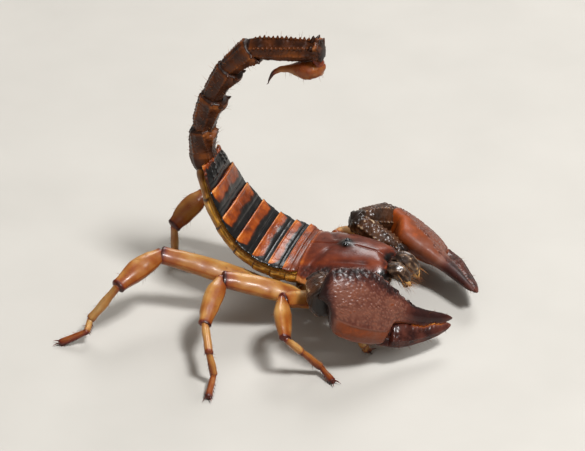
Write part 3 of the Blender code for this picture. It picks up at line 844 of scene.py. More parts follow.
def make_jaws(hairs):
    """Stout jaws: a pebbled ribbed ball, a fixed prong, a moving prong and golden bristles."""
    rows, columns = 60, 56
    chance = hairs.random
    for side, sign in SIDES.items():
        node = f"jaw_{side}"
        line = centre_line(node, "carapace")
        line = line[np.argsort(-line[:, 2])] if line[0][2] < line[-1][2] else line
        line = np.vstack((line[0] - AHEAD * 1.3 + UP * 0.1, line))
        drawn_in = JAW_DRAWN_IN[side]
        path = soften(smooth_curve(line, rows), 4)
        _, across, upright = path_axes(path, LEFT)
        radii = walls(solids(node), path, across, upright, columns, (4, 4))
        t = np.linspace(0, 1, rows)[:, None]
        radii *= np.sqrt(np.clip(1 - (1 - np.clip(t / 0.1, 0, 1)) ** 2, 0.05, 1))
        radii *= 1 - 0.55 * rise(t, 0.72, 1.0)
        angle, ways = round_path(across, upright, columns)
        path = path - AHEAD * drawn_in + UP * drawn_in * 0.3
        grid = path[:, None] + ways * (radii * (1 - 0.14 * drawn_in))[:, :, None]
        pebbles = cells(grid, 0.5, seed=sign)
        ribs = sum(ridge(angle, at, 0.16) for at in (0.4, 1.1, 1.9, 2.7, 3.6, 4.6, 5.5))
        grid = grid + ways * (0.05 * pebbles + 0.1 * ribs)[:, :, None]
        form = Form()
        # painted highlights: the ribs and lumps are paler; the jaw is also paler towards its tip and darker
        # at its root
        tone = 0.24 + 0.2 * ribs + 0.26 * rise(pebbles, 0.5, 0.8) + 0.34 * rise(t, 0.6, 0.9)
        tone = tone - 0.2 * (1 - rise(t, 0.08, 0.3)) + 0.12 * drift(grid, 0.8, 2)
        form.sheet(grid, tone=tone, matt=0.3)
        tip = path[-1]
        down = unit(tip - path[-14])
        for spread, forward, length in ((-0.32, 0.1, 1.35), (0.4, 0.5, 1.6)):  # the two prongs
            root = tip - down * 0.9 + LEFT * sign * spread + AHEAD * (forward - 0.2)
            bend = -LEFT * sign * spread * 0.6 - AHEAD * forward * 0.9
            spike(form, root, down + AHEAD * forward * 0.5, length, 0.75, bend, 12, 9, tone=0.9, matt=0.1)
        form.make(f"jaw_shell_{side}", jaw_chitin, "dark_shell", node)
        for _ in range(JAW_BRISTLES):
            turn, at = chance.uniform(0, 2 * math.pi), chance.uniform(0.5, 0.98)
            row, column = int(at * (rows - 1)), int(turn / (2 * math.pi) * columns) % columns
            out = ways[row, column]
            if out[0] > 0.3 and chance.random() < 0.7:  # fewer in front
                continue
            hairs.grow(grid[row, column], unit(out * 0.6 + down * 1.1 + AHEAD * 0.2),
                       chance.uniform(0.5, 1.3), 0.055, 60 + (sign > 0), (turn / (2 * math.pi), at),
                       down * 0.3, tone=chance.uniform(0.3, 0.75))


# ---------------------------------------------------------------- arms
def knobbly(t, angle, places):
    """An arm's beaded keels, granules and knobs."""
    keels = sum(ridge(angle, at, 0.1) for at in (0.5, 1.57, 2.64, 3.9, 5.5))
    beads = 0.5 + 0.5 * np.cos(t * 62)
    knobs = cells(places, 0.8, seed=7) * bump(t, 0.82, 0.16)
    return (keels * (0.1 + 0.16 * beads) + 0.08 * cells(places, 0.5) + 0.04 * drift(places, 1.5)
            + 0.2 * knobs)


def olive(t, angle, places, relief):
    """An arm's tone: paler on its granules, partly as painted glints, paler underneath, partly as painted
    light against its shade, and darker at both joints.
    """
    # painted glints: the granules are paler, partly their own colour
    speck = rise(relief, 0.17, 0.26)
    dark = 1 - 0.7 * (bump(t, 0, 0.06) + bump(t, 1, 0.06))
    # painted light: the underside is paler and browner, partly its own colour and partly lifting its shade
    under = rise(-np.sin(angle), 0.1, 0.8)
    return {"tone": (0.46 + 0.12 * drift(places, 1.4) + 0.45 * speck + 0.2 * under) * dark, "matt": 0.4}


ARM_PARTS = ("femur", "patella", "hand", "finger")


def make_arms(hairs):
    """Two stout arms of an upper and a lower piece, each with its hand."""
    for side, sign in SIDES.items():
        femur, patella, hand, finger = (f"arm_{side}_{part}" for part in ARM_PARTS)
        hip, turn, elbow = bends(centre_line(femur, "leg_bases", patella), 1)
        wrist_line = centre_line(patella, femur, hand)
        elbow, wrist = (elbow + wrist_line[0]) / 2, wrist_line[-1]
        form, tree = Form(), solids(femur)
        segment(form, hip - LEFT * sign * 1.2, turn, UP, tree, olive, 30, 56, (0.3, 1.3), relief=knobbly)
        segment(form, turn, elbow, UP, tree, olive, 90, 80, (1.2, 1.0),
                lambda t: 0.92 + 0.1 * rise(t, 0, 0.3), relief=knobbly)
        form.make(f"arm_femur_{side}", arm_chitin, "dark_shell", femur)
        form = Form()
        segment(form, elbow, wrist, UP, solids(patella), olive, 110, 100, (1.3, 0.35),
                lambda t: 0.86 + 0.14 * rise(t, 0, 0.25) - 0.1 * rise(t, 0.9, 1), relief=knobbly)
        form.make(f"arm_patella_{side}", arm_chitin, "dark_shell", patella)
        make_hand(side, sign, hand, finger, wrist, hairs)


# How the two hands differ. lead is how far the base runs back into the arm, base its thickness at
# the shares BASE_AT of that run, and rear_reach how far the rear edge is drawn back, most at
# rear_turn. The pebbled back begins at the turn edge. wrist is the share of tone left at the wrist.
HANDS = {
    "right": dict(lead=2.9, base=(0.35, 0.62, 0.86, 0.96, 1.0), rear_turn=0.5, rear_reach=1.7,
                  edge=0.18, edge_width=0.3, edge_dark=0.42, chunk_dark=0.0, side_tone=0.73,
                  side_fade=0.0, side_matt=0.36, wrist=0.3, shoulder=0.0),
    "left": dict(lead=4.8, base=(0.3, 0.45, 0.7, 0.92, 1.0), rear_turn=1.7, rear_reach=1.4,
                 edge=0.8, edge_width=0.12, edge_dark=0.0, chunk_dark=0.16, side_tone=0.83,
                 side_fade=0.016, side_matt=1.0, wrist=1.0, shoulder=0.18),
}
BASE_AT = (0, 0.15, 0.4, 0.7, 1)
HAND_START = 2.2  # a hand is measured from this far past its wrist
FINGER_LEAD = 1.9  # a finger's base runs back this far into the hand
HAND_STATIONS = 70
HAND_BRISTLES = 90


def hand_axes(points, wrist, sign):
    """A hand's own ways: along its fingers, out of its back, and towards its moving finger's side."""
    tip = points[np.argmax(np.linalg.norm(points - wrist, axis=1))]
    reach = unit(tip - wrist)
    flat = points - points.mean(0)
    flat = flat - np.outer(flat @ reach, reach)
    back = np.linalg.svd(flat)[2][1]
    back = unit(back - reach * (back @ reach)) * (1 if back[2] > 0 else -1)
    return reach, back, np.cross(reach, back) * sign


def hand_sections(node, wrist, reach, back, inner, start):
    """Stations along a hand or finger, from start or its own end, with its middle and radii at each."""
    points, _ = corners_and_faces(node)
    depth = (points - wrist) @ reach
    first = depth.min() + 0.1 if start is None else start
    stations = np.linspace(first, depth.max() - 0.12, HAND_STATIONS)
    tree = solids(node)
    centre = points[np.abs(depth - first) < 2.2].mean(0)
    path = []
    for station in stations:
        centre = centre + reach * (station - (centre - wrist) @ reach)
        for _ in range(4):
            for way in (inner, back):
                one, two = hit(tree, centre, way), hit(tree, centre, -way)
                if not math.isnan(one + two):
                    centre = centre + way * (one - two) / 2
        path.append(centre)
    path = soften(np.array(path), 3)
    return stations, path, walls(tree, path, [inner] * HAND_STATIONS, [back] * HAND_STATIONS, 90, (2, 4))


def hand_surface(own, d, a, grid):
    """The broad hand's relief, teeth, tone and matt, at depth d past the wrist and turn a round it."""
    body = 1 - rise(d, 9.0, 11.0)
    wrapped = np.where(a > 5, a - 2 * math.pi, a)
    top = rise(wrapped, own["edge"] - 0.14, own["edge"] + 0.02) * (1 - rise(wrapped, 2.42, 2.54))
    pebbles = cells(grid, 0.36) * top * body
    edge = ridge(a, own["edge"], own["edge_width"])
    chunks = cells(grid, 0.7, 0.55, 4.0) * edge * (1 - rise(d, 10.5, 12.5))
    keel = ridge(a, 2.48, 0.055) * rise(d, 1.0, 2.6) * (1 - rise(d, 11.5, 14))
    low_keel = ridge(a, 3.3, 0.06) * rise(d, 1.0, 2.6) * (1 - rise(d, 8.5, 9.5))
    groove = ridge(a, 2.9, 0.09) * body
    teeth = ridge(a, math.pi, 0.6) * rise(d, 10.6, 12.0)
    push = 0.09 * pebbles + 0.3 * chunks + 0.16 * keel + 0.12 * low_keel - 0.08 * groove
    tone = own["side_tone"] - own["side_fade"] * (d - 2) + 0.05 * drift(grid, 2.5)
    tone = tone * (1 - top) + (0.49 + 0.06 * drift(grid, 2.0) + 0.15 * pebbles) * top
    tone -= own["edge_dark"] * edge * (1 - 0.4 * chunks) * (1 - rise(d, 12, 14))
    tone -= own["chunk_dark"] * chunks
    tone -= 0.12 * keel * top
    tone = tone * (1 - 0.66 * rise(d, 9.5, 12.2)) * (0.6 + 0.4 * rise(d, -0.4, 0.5))
    tone = tone * (own["wrist"] + (1 - own["wrist"]) * rise(d, -1.2, 1.0))
    matt = own["side_matt"] * (1 - top * body) + 0.5 * top * body
    return push, teeth, tone, matt


def finger_surface(own, d, a, grid):
    """The same for the moving finger."""
    pebbles = cells(grid, 0.5) * (1 - rise(d, 11, 13))
    teeth = ridge(a, 0, 0.6) * rise(d, 10.8, 12.0)
    push = 0.05 * pebbles + 0.12 * ridge(a, 1.9, 0.1) + 0.1 * ridge(a, 2.6, 0.1)
    push += 0.75 * ridge(a, 0, 0.7) * (1 - rise(d, 10.2, 12.2))
    shoulder = 0.15 * ridge(a, math.pi, 1.3) + own["shoulder"] * ridge(a, 1.8, 0.8)
    push += shoulder * (1 - rise(d, 9.5, 13.5))
    return push, teeth, 0.27 + 0.08 * drift(grid, 1.5) + 0.1 * pebbles, 0.2 + 0.2 * pebbles


def make_hand(side, sign, hand, finger, wrist, hairs):
    """A broad hand, pebbled on its back, and its moving finger, with golden teeth between them."""
    own, chance = HANDS[side], hairs.random
    reach, back, inner = hand_axes(corners_and_faces(hand)[0], wrist, sign)
    coarse = 2 * math.pi * np.arange(91) / 90
    for node, other in ((hand, finger), (finger, hand)):
        broad = node == hand
        start = HAND_START if broad else None
        stations, path, table = hand_sections(node, wrist, reach, back, inner, start)
        rows, columns = (230, 220) if broad else (160, 96)
        lead = own["lead"] if broad else FINGER_LEAD
        depths = np.linspace(stations[0] - lead, stations[-1] + 0.1, rows)
        spine = at_rows(depths, stations, path - stations[:, None] * reach) + depths[:, None] * reach
        angle, ways = round_directions(inner, back, columns)
        radii = np.array([np.interp(angle, coarse, np.append(row, row[0]))
                          for row in at_rows(depths, stations, table)])
        d, a = np.meshgrid(depths, angle, indexing="ij")
        grid = spine[:, None] + ways[None] * radii[:, :, None]
        push, teeth, tone, matt = (hand_surface if broad else finger_surface)(own, d, a, grid)

        # Each finger's toothed side reaches half way over to the other one.
        meeting, toward = (math.pi, -inner) if broad else (0, inner)
        tree, widths = solids(other), radii[:, column_at(meeting, columns)]
        far = np.array([hit(tree, centre, toward) for centre in spine])
        between = np.where(np.isnan(far), 0, np.clip((far - widths) / 2, -0.2, 0.7))
        waves = 0.13 * np.cos(d * 2 * math.pi / 2.6) + 0.05 * np.cos(d * 2 * math.pi / 0.62)
        meet = soften(between[:, None], 4) + 0.03 + waves * (1 if broad else -1)
        tip = depths[-1]
        push = push + teeth * meet * (1 - 0.8 * rise(d, tip - 1.2, tip))
        golden = ridge(a, meeting, 0.36) * rise(teeth, 0.1, 0.4)
        tone = tone + 0.9 * golden * (1 - rise(d, tip - 1.6, tip - 0.4))
        tone = tone + 0.14 * rise(d, tip - 2.5, tip)

        close = np.sqrt(np.clip(1 - (1 - np.clip((d - depths[0]) / 0.8, 0, 1)) ** 3, 0.03, 1))
        if broad:
            close *= np.interp(np.clip((d - depths[0]) / lead, 0, 1), BASE_AT, own["base"])
        tip_close = np.sqrt(np.clip(1 - np.clip((d - tip + 0.9) / 0.93, 0, 1) ** 2, 0.02, 1))
        grid = spine[:, None] + ways[None] * ((radii + push) * close * tip_close)[:, :, None]
        if broad:
            drawn = own["rear_reach"] * (1 - rise(d, 0.0, 4.5)) * (0.5 + 0.5 * np.cos(a - own["rear_turn"]))
            grid = grid - reach * drawn[:, :, None]
        form = Form()
        form.sheet(grid, flip=sign > 0, tone=np.clip(tone, 0.04, 0.97), matt=np.clip(matt, 0, 1))
        name, slot = ("hand", "hand_shell") if broad else ("finger", "dark_shell")
        form.make(f"{name}_shell_{side}", hand_chitin, slot, node)
        for _ in range(HAND_BRISTLES):
            row, column = chance.randrange(10, rows - 8), chance.randrange(columns)
            if math.sin(angle[column]) > 0.1 and chance.random() < 0.75:  # fewer on the back
                continue
            panel = 50 + 2 * (sign > 0) + (node == finger)
            hairs.grow(grid[row, column], unit(ways[column] + reach * 0.9), chance.uniform(0.35, 0.8),
                       0.045, panel, (column / columns, row / rows), tone=0.3)


# ---------------------------------------------------------------- legs
LEG_KEELS = (1.1, 2.04, 4.3, 5.1)  # turns round a leg
SPINE_STANCE = {"1": 0.82, "2": 0.9, "3": 0.97, "4": 1.0}  # how far apart the foot's spines stand
THIGH_WIDTH = {"1": 1.04, "2": 1.08, "3": 1.18, "4": 1.14}  # as shares of the solid's
SHIN_WIDTH = {"1": 1.0, "2": 1.0, "3": 1.0, "4": 1.12}
FOOT_TONES = (0.56, 0.44, 0.26)  # its three joints get darker towards the claws


def amber(panel, base, end_dark=0.75, matt=0.15):
    """A leg segment's paint: paler above as painted light from above, darker on its keels and at both
    joints.
    """
    def paint(t, angle, places, relief):
        # painted light: the upper side is paler
        tone = base + 0.2 * rise(np.sin(angle), 0.1, 0.9) + 0.1 * drift(places, 2.0, panel)
        tone -= 0.13 * sum(ridge(angle, at, 0.07) for at in LEG_KEELS)
        tone -= end_dark * base * (bump(t, 1.0, 0.025) + 0.6 * bump(t, 0.0, 0.02))
        tone -= 0.14 * (bump(t, 1.0, 0.16) + bump(t, 0.0, 0.12))
        return {"tone": np.clip(tone, 0.03, 0.95), "matt": matt}
    return paint


def flared(width):
    """A leg segment's waist: narrow at its root, widest before its far joint."""
    def waist(t):
        return (0.8 + 0.2 * rise(t, 0, 0.24) - 0.1 * rise(t, 0.8, 0.97) + 0.03 * rise(t, 0.96, 1)) * width
    return waist


def make_legs(hairs):
    """Eight legs: a thigh with its short root, a shin, and a foot of three joints with two claws."""
    for panel, (side, number) in enumerate(itertools.product(SIDES, "1234")):
        sign = SIDES[side]
        femur, patella, foot = (f"leg_{side}_{number}_{part}" for part in ("femur", "patella", "foot"))
        first = centre_line(femur, "leg_bases", patella)
        hip, knee = first[0], first[-1]
        middle = centre_line(patella, femur, foot)
        last = centre_line(foot, patella, "floor")
        shin, ankle, heel = bends(last[:-1], 2)[:3]
        toe = last[-1] + UP * 0.3
        knee, shin = (knee + middle[0]) / 2, (middle[-1] + shin) / 2
        trochanter = bends(first, 1)[1] if len(first) < 9 else first[3]
        out_of_bend = unit(unit(knee - trochanter) - unit(shin - knee)) + 0.05 * UP

        def edges(t, angle, places):
            keels = sum(ridge(angle, at, 0.16) for at in LEG_KEELS)
            return 0.06 * keels + 0.045 * drift(places, 1.5, panel)

        form = Form()
        tree = solids(femur)
        root = hip - LEFT * sign * 0.9
        segment(form, root, trochanter, UP, tree, amber(panel, 0.5, 0.5), 20, 40, (0.4, 0.7))
        grid = segment(form, trochanter, knee, out_of_bend, tree, amber(panel, 0.55, matt=0.4),
                       70, 48, (0.6, 0.35), flared(THIGH_WIDTH[number]), 0.02, edges)
        form.make(f"leg_femur_{side}_{number}", amber_chitin, "amber_shell", femur)
        bristle_rows(hairs, grid, unit(knee - trochanter), 26, 8 + 3 * panel, 0.5)
        form = Form()
        grid = segment(form, knee, shin, out_of_bend, solids(patella), amber(panel, 0.49, matt=0.3),
                       70, 48, (0.5, 0.35), flared(SHIN_WIDTH[number]), 0.03, edges)
        form.make(f"leg_patella_{side}_{number}", amber_chitin, "amber_shell", patella)
        bristle_rows(hairs, grid, unit(shin - knee), 30, 9 + 3 * panel, 0.55)
        form = Form()
        tree = solids(foot)
        joints = (shin, ankle, heel, toe)
        for k, (a, b, base) in enumerate(zip(joints, joints[1:], FOOT_TONES)):
            if np.linalg.norm(b - a) < 0.4:
                continue
            grid = segment(form, a, b, UP + 0.3 * AHEAD, tree, amber(panel, base, 0.6, 0.2), 44, 32,
                           (0.32, 0.3 if k < 2 else 0.42), lambda t: 0.84 + 0.2 * rise(t, 0.0, 0.9),
                           relief=edges)
            ahead = unit(b - a)
            bristle_rows(hairs, grid, ahead, 26 if k else 18, 10 + 3 * panel, 0.5)
            out = unit(np.cross(ahead, UP))
            for j in range(5 if k else 2):  # stout spines under the foot and at the shin's end
                at = a + (b - a) * (0.35 + 0.15 * j if k else 0.9 + 0.06 * j)
                for aside in (-out, out):
                    root = at + aside * 0.32 * SPINE_STANCE[number] - UP * 0.2
                    spike(form, root, aside * 0.7 + ahead * 0.8 - UP * 0.25, 0.5, 0.15, sides=6, tone=0.04)
        flat = unit(unit(toe - heel) * (1, 1, 0))
        for lean in (-1, 1):  # the two curved claws
            out = np.cross(flat, UP) * lean
            spike(form, toe + flat * 0.2 + out * 0.2 + UP * 0.12, flat + out * 0.45 + UP * 0.25, 0.95, 0.26,
                  -UP * 0.42 + flat * 0.1, 8, 9, tone=0.06, matt=0.0)
        form.make(f"leg_foot_{side}_{number}", amber_chitin, "amber_shell", foot)


def bristle_rows(hairs, grid, ahead, count, panel, length):
    """Sparse hairs on a segment, leaning towards its far end."""
    rows, columns = grid.shape[:2]
    chance = hairs.random
    for _ in range(count):
        row, column = chance.randrange(8, rows - 8), chance.randrange(columns)
        out = unit(grid[row, column] - grid[row].mean(0))
        root = grid[row, column] - out * 0.02
        if root[2] < 0.35:
            continue
        hairs.grow(root, unit(out + ahead * 0.7), length * chance.uniform(0.6, 1.5), 0.04, panel,
                   (column / columns, row / rows), ahead * 0.2, tone=chance.uniform(0.15, 0.6))


def make_leg_roots():
    """The hard roots of the limbs under the head shield, meeting at a small breastplate."""
    form = Form()
    low, high = box("leg_bases")
    for side, sign in SIDES.items():
        for number in "1234":
            hip = centre_line(f"leg_{side}_{number}_femur", "leg_bases", f"leg_{side}_{number}_patella")[0]
            inner = np.array((hip[0] + 0.5 + 0.55 * int(number), MIDDLE_Y + sign * 0.75, low[2] + 0.45))
            tube_between(form, inner, hip - LEFT * sign * 0.2, (0.55, 0.5), (1.15, 0.95), 0.5)
    plate = np.array(((low[0] + high[0]) / 2 + 0.5, MIDDLE_Y, low[2] + 0.2))
    tube_between(form, plate - AHEAD * 1.1, plate + AHEAD * 0.9, (0.5, 0.25), (0.75, 0.3), 0.7)
    form.make("limb_roots", amber_chitin, "amber_shell")


def tube_between(form, a, b, start, end, base):
    """A rounded tapering body from a to b, with half sizes (wide, high) at its ends."""
    ahead = unit(b - a)
    across = unit(np.cross(UP, ahead))
    upright = np.cross(ahead, across)
    angle, _ = round_directions(across, upright, 32)
    t = np.linspace(0, 1, 34)
    grid = []
    for share in t:
        round_off = math.sqrt(max(0.03, 1 - abs(2 * share - 1) ** 6))
        wide, high = (p + (q - p) * share for p, q in zip(start, end))
        ring = np.cos(angle)[:, None] * across * wide + np.sin(angle)[:, None] * upright * high
        grid.append(a + (b - a) * share + ring * round_off)
    tone = base - 0.3 * bump(t, 0, 0.06) - 0.3 * bump(t, 1, 0.06)
    form.sheet(np.array(grid), tone=tone[:, None], matt=0.25)


def make_combs():
    """The pair of sensing combs under the belly, each a jointed bar with a row of teeth."""
    for side, sign in SIDES.items():
        node = f"comb_{side}"
        low, high = box(node)
        points, _ = corners_and_faces(node)
        aside = np.abs(points[:, 1] - MIDDLE_Y)
        level = (low[2] + high[2]) / 2
        a, b = (np.array((*points[i][:2], level)) for i in (aside.argmin(), aside.argmax()))
        form = Form()
        tube_between(form, a, b, (0.42, 0.3), (0.3, 0.22), 0.8)
        tooth = np.array((-0.85, sign * 0.22, -0.05))
        for k in range(14):
            root = a + (b - a) * (0.1 + 0.062 * k)
            tube_between(form, root, root + tooth, (0.11, 0.13), (0.1, 0.12), 0.85)
        form.make(f"comb_teeth_{side}", soft_skin, "soft_belly", node)


# ---------------------------------------------------------------- tail
TAIL_ROWS, TAIL_COLUMNS = 110, 112
TAIL_BRISTLES, LAST_BRISTLES, BULB_BRISTLES = 26, 70, 40  # on each of four segments, the fifth, the bulb
BACK = math.pi / 2  # the turn of a tail segment's upper middle line


def tail_keels(last):
    """The turns of a tail segment's keels: on its back, high and low on its sides, and underneath."""
    pairs = [[BACK + s * gap for s in (-1, 1)] for gap in (0.62, 1.25, 2.0 if last else 2.35, 2.85)]
    return (*pairs[:3], [-BACK] if last else pairs[3])


def make_tail(hairs):
    """Five keeled segments, each waisted in front and flared to spurred corners at the rear."""
    nodes = [f"tail_{n}" for n in range(1, 6)]
    chance = hairs.random
    neighbours = ["back_plate_7", *nodes, None]
    lines = [centre_line(node, neighbours[i], neighbours[i + 2]) for i, node in enumerate(nodes)]
    joints = [lines[0][0]] + [(a[-1] + b[0]) / 2 for a, b in zip(lines, lines[1:])] + [lines[-1][-1]]
    for joint in joints:
        joint[1] = MIDDLE_Y
    for i, (node, start, end) in enumerate(zip(nodes, joints, joints[1:])):
        last = i == len(nodes) - 1
        length = np.linalg.norm(end - start)
        ahead, top = unit(end - start), unit(np.cross(start - end, LEFT))
        back_keels, high_keels, low_keels, under_keels = tail_keels(last)
        strong_keels = under_keels + low_keels if last else back_keels
        weak_keels = high_keels if last else high_keels + low_keels + under_keels

        def keels(t, angle, places):
            beads = 0.5 + 0.5 * np.cos(t * length * 2 * math.pi / 0.5)
            growing = 0.5 + 0.5 * t
            strong = sum(ridge(angle, at, 0.11) for at in strong_keels)
            weak = sum(ridge(angle, at, 0.1) for at in weak_keels)
            pebbles = cells(places, 0.45, seed=i)
            if last:
                pebbles = pebbles * (1 + 3 * rise(t, 0.86, 0.95))
                shape = 0.35 * sum(ridge(angle, at, 0.3) for at in low_keels) * rise(t, 0.88, 0.95)
            else:
                shape = 0.5 * ridge(angle, BACK, 1.0) * rise(t, 0.5, 0.97)
                shape = shape + 0.16 * np.sin(math.pi * t) * ridge(angle, -BACK, 1.3)
            groove = ridge(angle, BACK, 0.35)
            return (strong * (0.14 + 0.1 * beads) * growing + weak * (0.1 + 0.06 * beads) - 0.1 * groove
                    + 0.05 * pebbles + 0.05 * drift(places, 1.2, i) + shape)

        def horn(t, angle, places, relief):
            tone = 0.41 + 0.14 * drift(places, 1.6, i) + 0.24 * rise(relief, 0.1, 0.24)
            tone += 0.1 * rise(np.abs(np.cos(angle)), 0.6, 1.0) + 0.12 * bump(t, 0.93, 0.05)
            tone -= 0.3 * (t >= 1) + (0.25 if i else 0.05) * (t <= 0)
            inside = (t >= 1) | (t <= 0)
            matt = np.where(inside, 1, 0.3 + 0.3 * rise(relief, 0.1, 0.3))
            return {"tone": np.clip(tone, 0.05, 0.95), "matt": matt}

        def waist(t):
            if last:
                return 0.9 + 0.1 * rise(t, 0, 0.14) - 0.1 * bump(t, 0.87, 0.06) - 0.06 * rise(t, 0.95, 1)
            narrow = 0.07 if i else -0.1
            return 1 - narrow * (1 - rise(t, 0, 0.2)) + 0.02 * rise(t, 0.8, 0.97) - 0.05 * rise(t, 0.95, 1)

        form = Form()
        grid = segment(form, start, end, top, solids(node), horn, TAIL_ROWS, TAIL_COLUMNS,
                       (0.7 if i else 3.8, 0.3), waist, relief=keels)

        def tooth(row, turn, sunk, lean, length, width, sides, tone):
            at = grid[row, column_at(turn, TAIL_COLUMNS)]
            out = unit(at - grid[row].mean(0))
            spike(form, at - out * sunk, out + ahead * lean, length, width, sides=sides, tone=tone)

        for turn in back_keels + high_keels:  # rear corners end in spurs
            column = column_at(turn, TAIL_COLUMNS)
            out = unit(grid[-12, column] - grid[-12].mean(0))
            way = out * 0.9 + ahead * 0.45
            size = 0.7 if turn in back_keels and not last else 0.4
            spike(form, grid[-11, column] - out * 0.35, way, size, 0.8, sides=8, tone=0.4)
        if last:
            for turn, size in zip(low_keels + under_keels, (1.2, 1.2, 1.0)):
                tooth(104, turn, 0.4, 0.25, size, 1.0, 9, 0.3)
            for turn in under_keels + low_keels:  # pointed teeth along the keels under segment five
                for row in range(14, 104, 7):
                    # painted highlights: these teeth are pale (tone 0.6)
                    tooth(row, turn, 0.12, 0.3, 0.36 + 0.2 * chance.random(), 0.52, 8, 0.6)
        form.make(f"tail_shell_{i + 1}", tail_chitin, "dark_shell", node)
        for _ in range(LAST_BRISTLES if last else TAIL_BRISTLES):
            row, column = chance.randrange(10, 108), chance.randrange(TAIL_COLUMNS)
            out = unit(grid[row, column] - grid[row].mean(0))
            if last and out @ top > 0.2:
                continue
            hairs.grow(grid[row, column] - out * 0.03, unit(out + ahead * 0.25), chance.uniform(0.5, 1.3),
                       0.045, i, (column / TAIL_COLUMNS, row / 120), tone=chance.uniform(0.2, 0.6))
    make_telson(hairs, joints[-1], ahead)


def make_telson(hairs, joint, behind):
    """The poison bulb, a clear amber pear, drawn out into the curved dark sting."""
    rows, columns = 120, 72
    chance = hairs.random
    bulb = centre_line("poison_bulb", "sting")[::-1]
    line = np.vstack((bulb[:-1], centre_line("sting", "poison_bulb")))
    line[:, 1] = MIDDLE_Y
    line = smooth_curve(line, 600)
    run = np.append(0, np.linalg.norm(np.diff(line, axis=0), axis=1).cumsum())
    path = soften(at_rows(np.linspace(0, run[-1], rows), run, line), 4)
    _, across, upright = path_axes(path, LEFT)
    radii = walls(solids("poison_bulb", "sting"), path, across, upright, columns, (5, 6))
    t = np.linspace(0, 1, rows)[:, None]
    radii *= np.sqrt(np.clip(1 - (1 - np.clip((t + 0.01) / 0.04, 0, 1)) ** 2, 0.1, 1))
    reach = np.linalg.norm(np.diff(path, axis=0), axis=1).cumsum()
    share = np.append(0, reach / reach[-1])[:, None]
    needle = 0.5 * (1 - share) / 0.42 + 0.03  # the sting comes to a point
    radii = soften(np.where(share > 0.58, np.minimum(radii, needle), radii), 3)
    _, ways = round_path(across, upright, columns)
    grid = path[:, None] + ways * radii[:, :, None]
    lumps = cells(grid, 0.6, seed=3) * (1 - rise(share, 0.35, 0.6))
    grid = grid + ways * (0.05 * lumps)[:, :, None]
    grid = grid + ways * (0.2 * bump(t, 0.24, 0.18))[:, :, None]  # the bulb is fullest here
    grid = grid + UP * (0.14 * (1 - rise(t, 0.3, 0.6)))[:, :, None]
    # painted glow: lighter underneath and in a band near the sting, as light through the clear bulb; the
    # darker top is partly its own colour
    tone = 0.42 + 0.06 * drift(grid, 1.0) - 0.08 * lumps - 0.1 * ways[:, :, 2]
    tone += 0.12 * bump(share, 0.58, 0.1) - 0.5 * rise(share, 0.68, 0.86)
    form = Form()
    tube_between(form, joint - behind * 1.3, bulb[0] - behind * 0.5 + UP * 0.1, (0.9, 0.7), (0.8, 0.6), 0.2)
    form.sheet(grid, tone=np.clip(tone, 0.02, 0.9), matt=0.1 + 0.2 * lumps)
    form.make("poison_bulb_and_sting", amber_chitin, "amber_shell", "poison_bulb", "sting")
    for _ in range(BULB_BRISTLES):
        row, column = chance.randrange(6, 70), chance.randrange(columns)
        hairs.grow(grid[row, column], ways[row, column], chance.uniform(0.4, 1.0), 0.04, 6,
                   (column / columns, row / rows), tone=0.4)


# ---------------------------------------------------------------- stage
# name, degrees round from the camera, degrees above the floor, metres away, metres wide, watts
LIGHTS = (("key", 50, 62, 0.5, 0.1, 3.0), ("rim", 165, 45, 0.5, 0.2, 1.3), ("fill", -25, 35, 0.6, 0.3, 0.45))


def way_out(turn, lift):
    """The way from the model to something turn degrees round it and lift degrees above the floor."""
    turn, lift = math.radians(turn), math.radians(lift)
    return Vector((math.sin(turn) * math.cos(lift), -math.cos(turn) * math.cos(lift), math.sin(lift)))


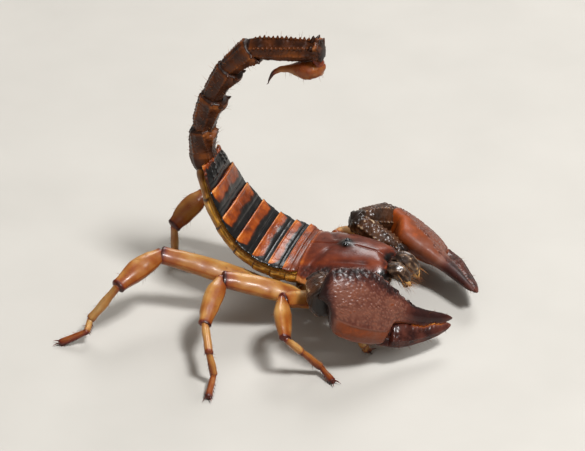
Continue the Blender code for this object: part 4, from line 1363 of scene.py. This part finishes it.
def make_stage():
    """A plain pale paper floor, a dim warm sky, a high key light, a rim light behind and a weak fill."""
    mesh = bpy.data.meshes.new("floor")
    reach = 3.0  # metres
    corners = ((-reach, -reach, 0), (reach, -reach, 0), (reach, reach, 0), (-reach, reach, 0))
    mesh.from_pydata(corners, [], [(0, 1, 2, 3)])
    floor = bpy.data.objects.new("floor", mesh)
    bpy.context.scene.collection.objects.link(floor)
    paper = bpy.data.materials.new("matt_backdrop_paper")
    paper.use_nodes = True
    tree = paper.node_tree
    place = add(tree, "ShaderNodeTexCoord").outputs["Object"]
    fibre = add(tree, "ShaderNodeTexNoise", {"Vector": place, "Scale": 60.0, "Detail": 3.0}).outputs["Fac"]
    ramp = add(tree, "ShaderNodeValToRGB", {"Fac": fibre}, ((0.3, "#b3b0aa"), (0.7, "#b8b5af")))
    tree.links.new(ramp.outputs["Color"], tree.nodes["Principled BSDF"].inputs["Base Color"])
    tree.nodes["Principled BSDF"].inputs["Roughness"].default_value = 0.9
    mesh.materials.append(paper)

    bpy.context.scene.view_settings.view_transform = "Standard"  # colours show as they are set here
    world = bpy.data.worlds.new("overcast")
    bpy.context.scene.world = world
    world.use_nodes = True
    world.node_tree.nodes["Background"].inputs["Color"].default_value = linear("#f0e8dc")
    world.node_tree.nodes["Background"].inputs["Strength"].default_value = 0.3
    aim = Vector(CAMERA_AIM) * MM
    for name, turn, lift, away, size, power in LIGHTS:
        light = bpy.data.lights.new(name, "AREA")
        light.size, light.energy = size, power
        lamp = bpy.data.objects.new(name, light)
        bpy.context.scene.collection.objects.link(lamp)
        way = way_out(CAMERA_TURN + turn, lift)
        lamp.location = aim + way * away
        lamp.rotation_euler = way.to_track_quat("Z", "Y").to_euler()


def make_camera():
    """A long lens from the animal's front right."""
    way = way_out(CAMERA_TURN, CAMERA_RISE)
    data = bpy.data.cameras.new("camera")
    data.sensor_width = SENSOR_WIDTH
    data.lens = LENS_LENGTH
    data.clip_start = 0.01
    camera = bpy.data.objects.new("camera", data)
    camera.location = (Vector(CAMERA_AIM) + way * CAMERA_DISTANCE) * MM
    camera.rotation_euler = way.to_track_quat("Z", "Y").to_euler()
    bpy.context.scene.collection.objects.link(camera)
    bpy.context.scene.camera = camera


def main():
    """Builds the stage and the animal. The bristles come last, when all that grow are known."""
    body_hairs, leg_hairs = Bristles(11), Bristles(23)
    make_stage()
    make_camera()
    make_back_plates()
    make_skin()
    make_leg_roots()
    make_combs()
    make_carapace()
    make_eyes()
    make_jaws(body_hairs)
    make_arms(body_hairs)
    make_legs(leg_hairs)
    make_tail(body_hairs)
    body_hairs.make("bristles_body", bristle, "amber_shell")
    leg_hairs.make("bristles_legs", bristle, "amber_shell")


main()
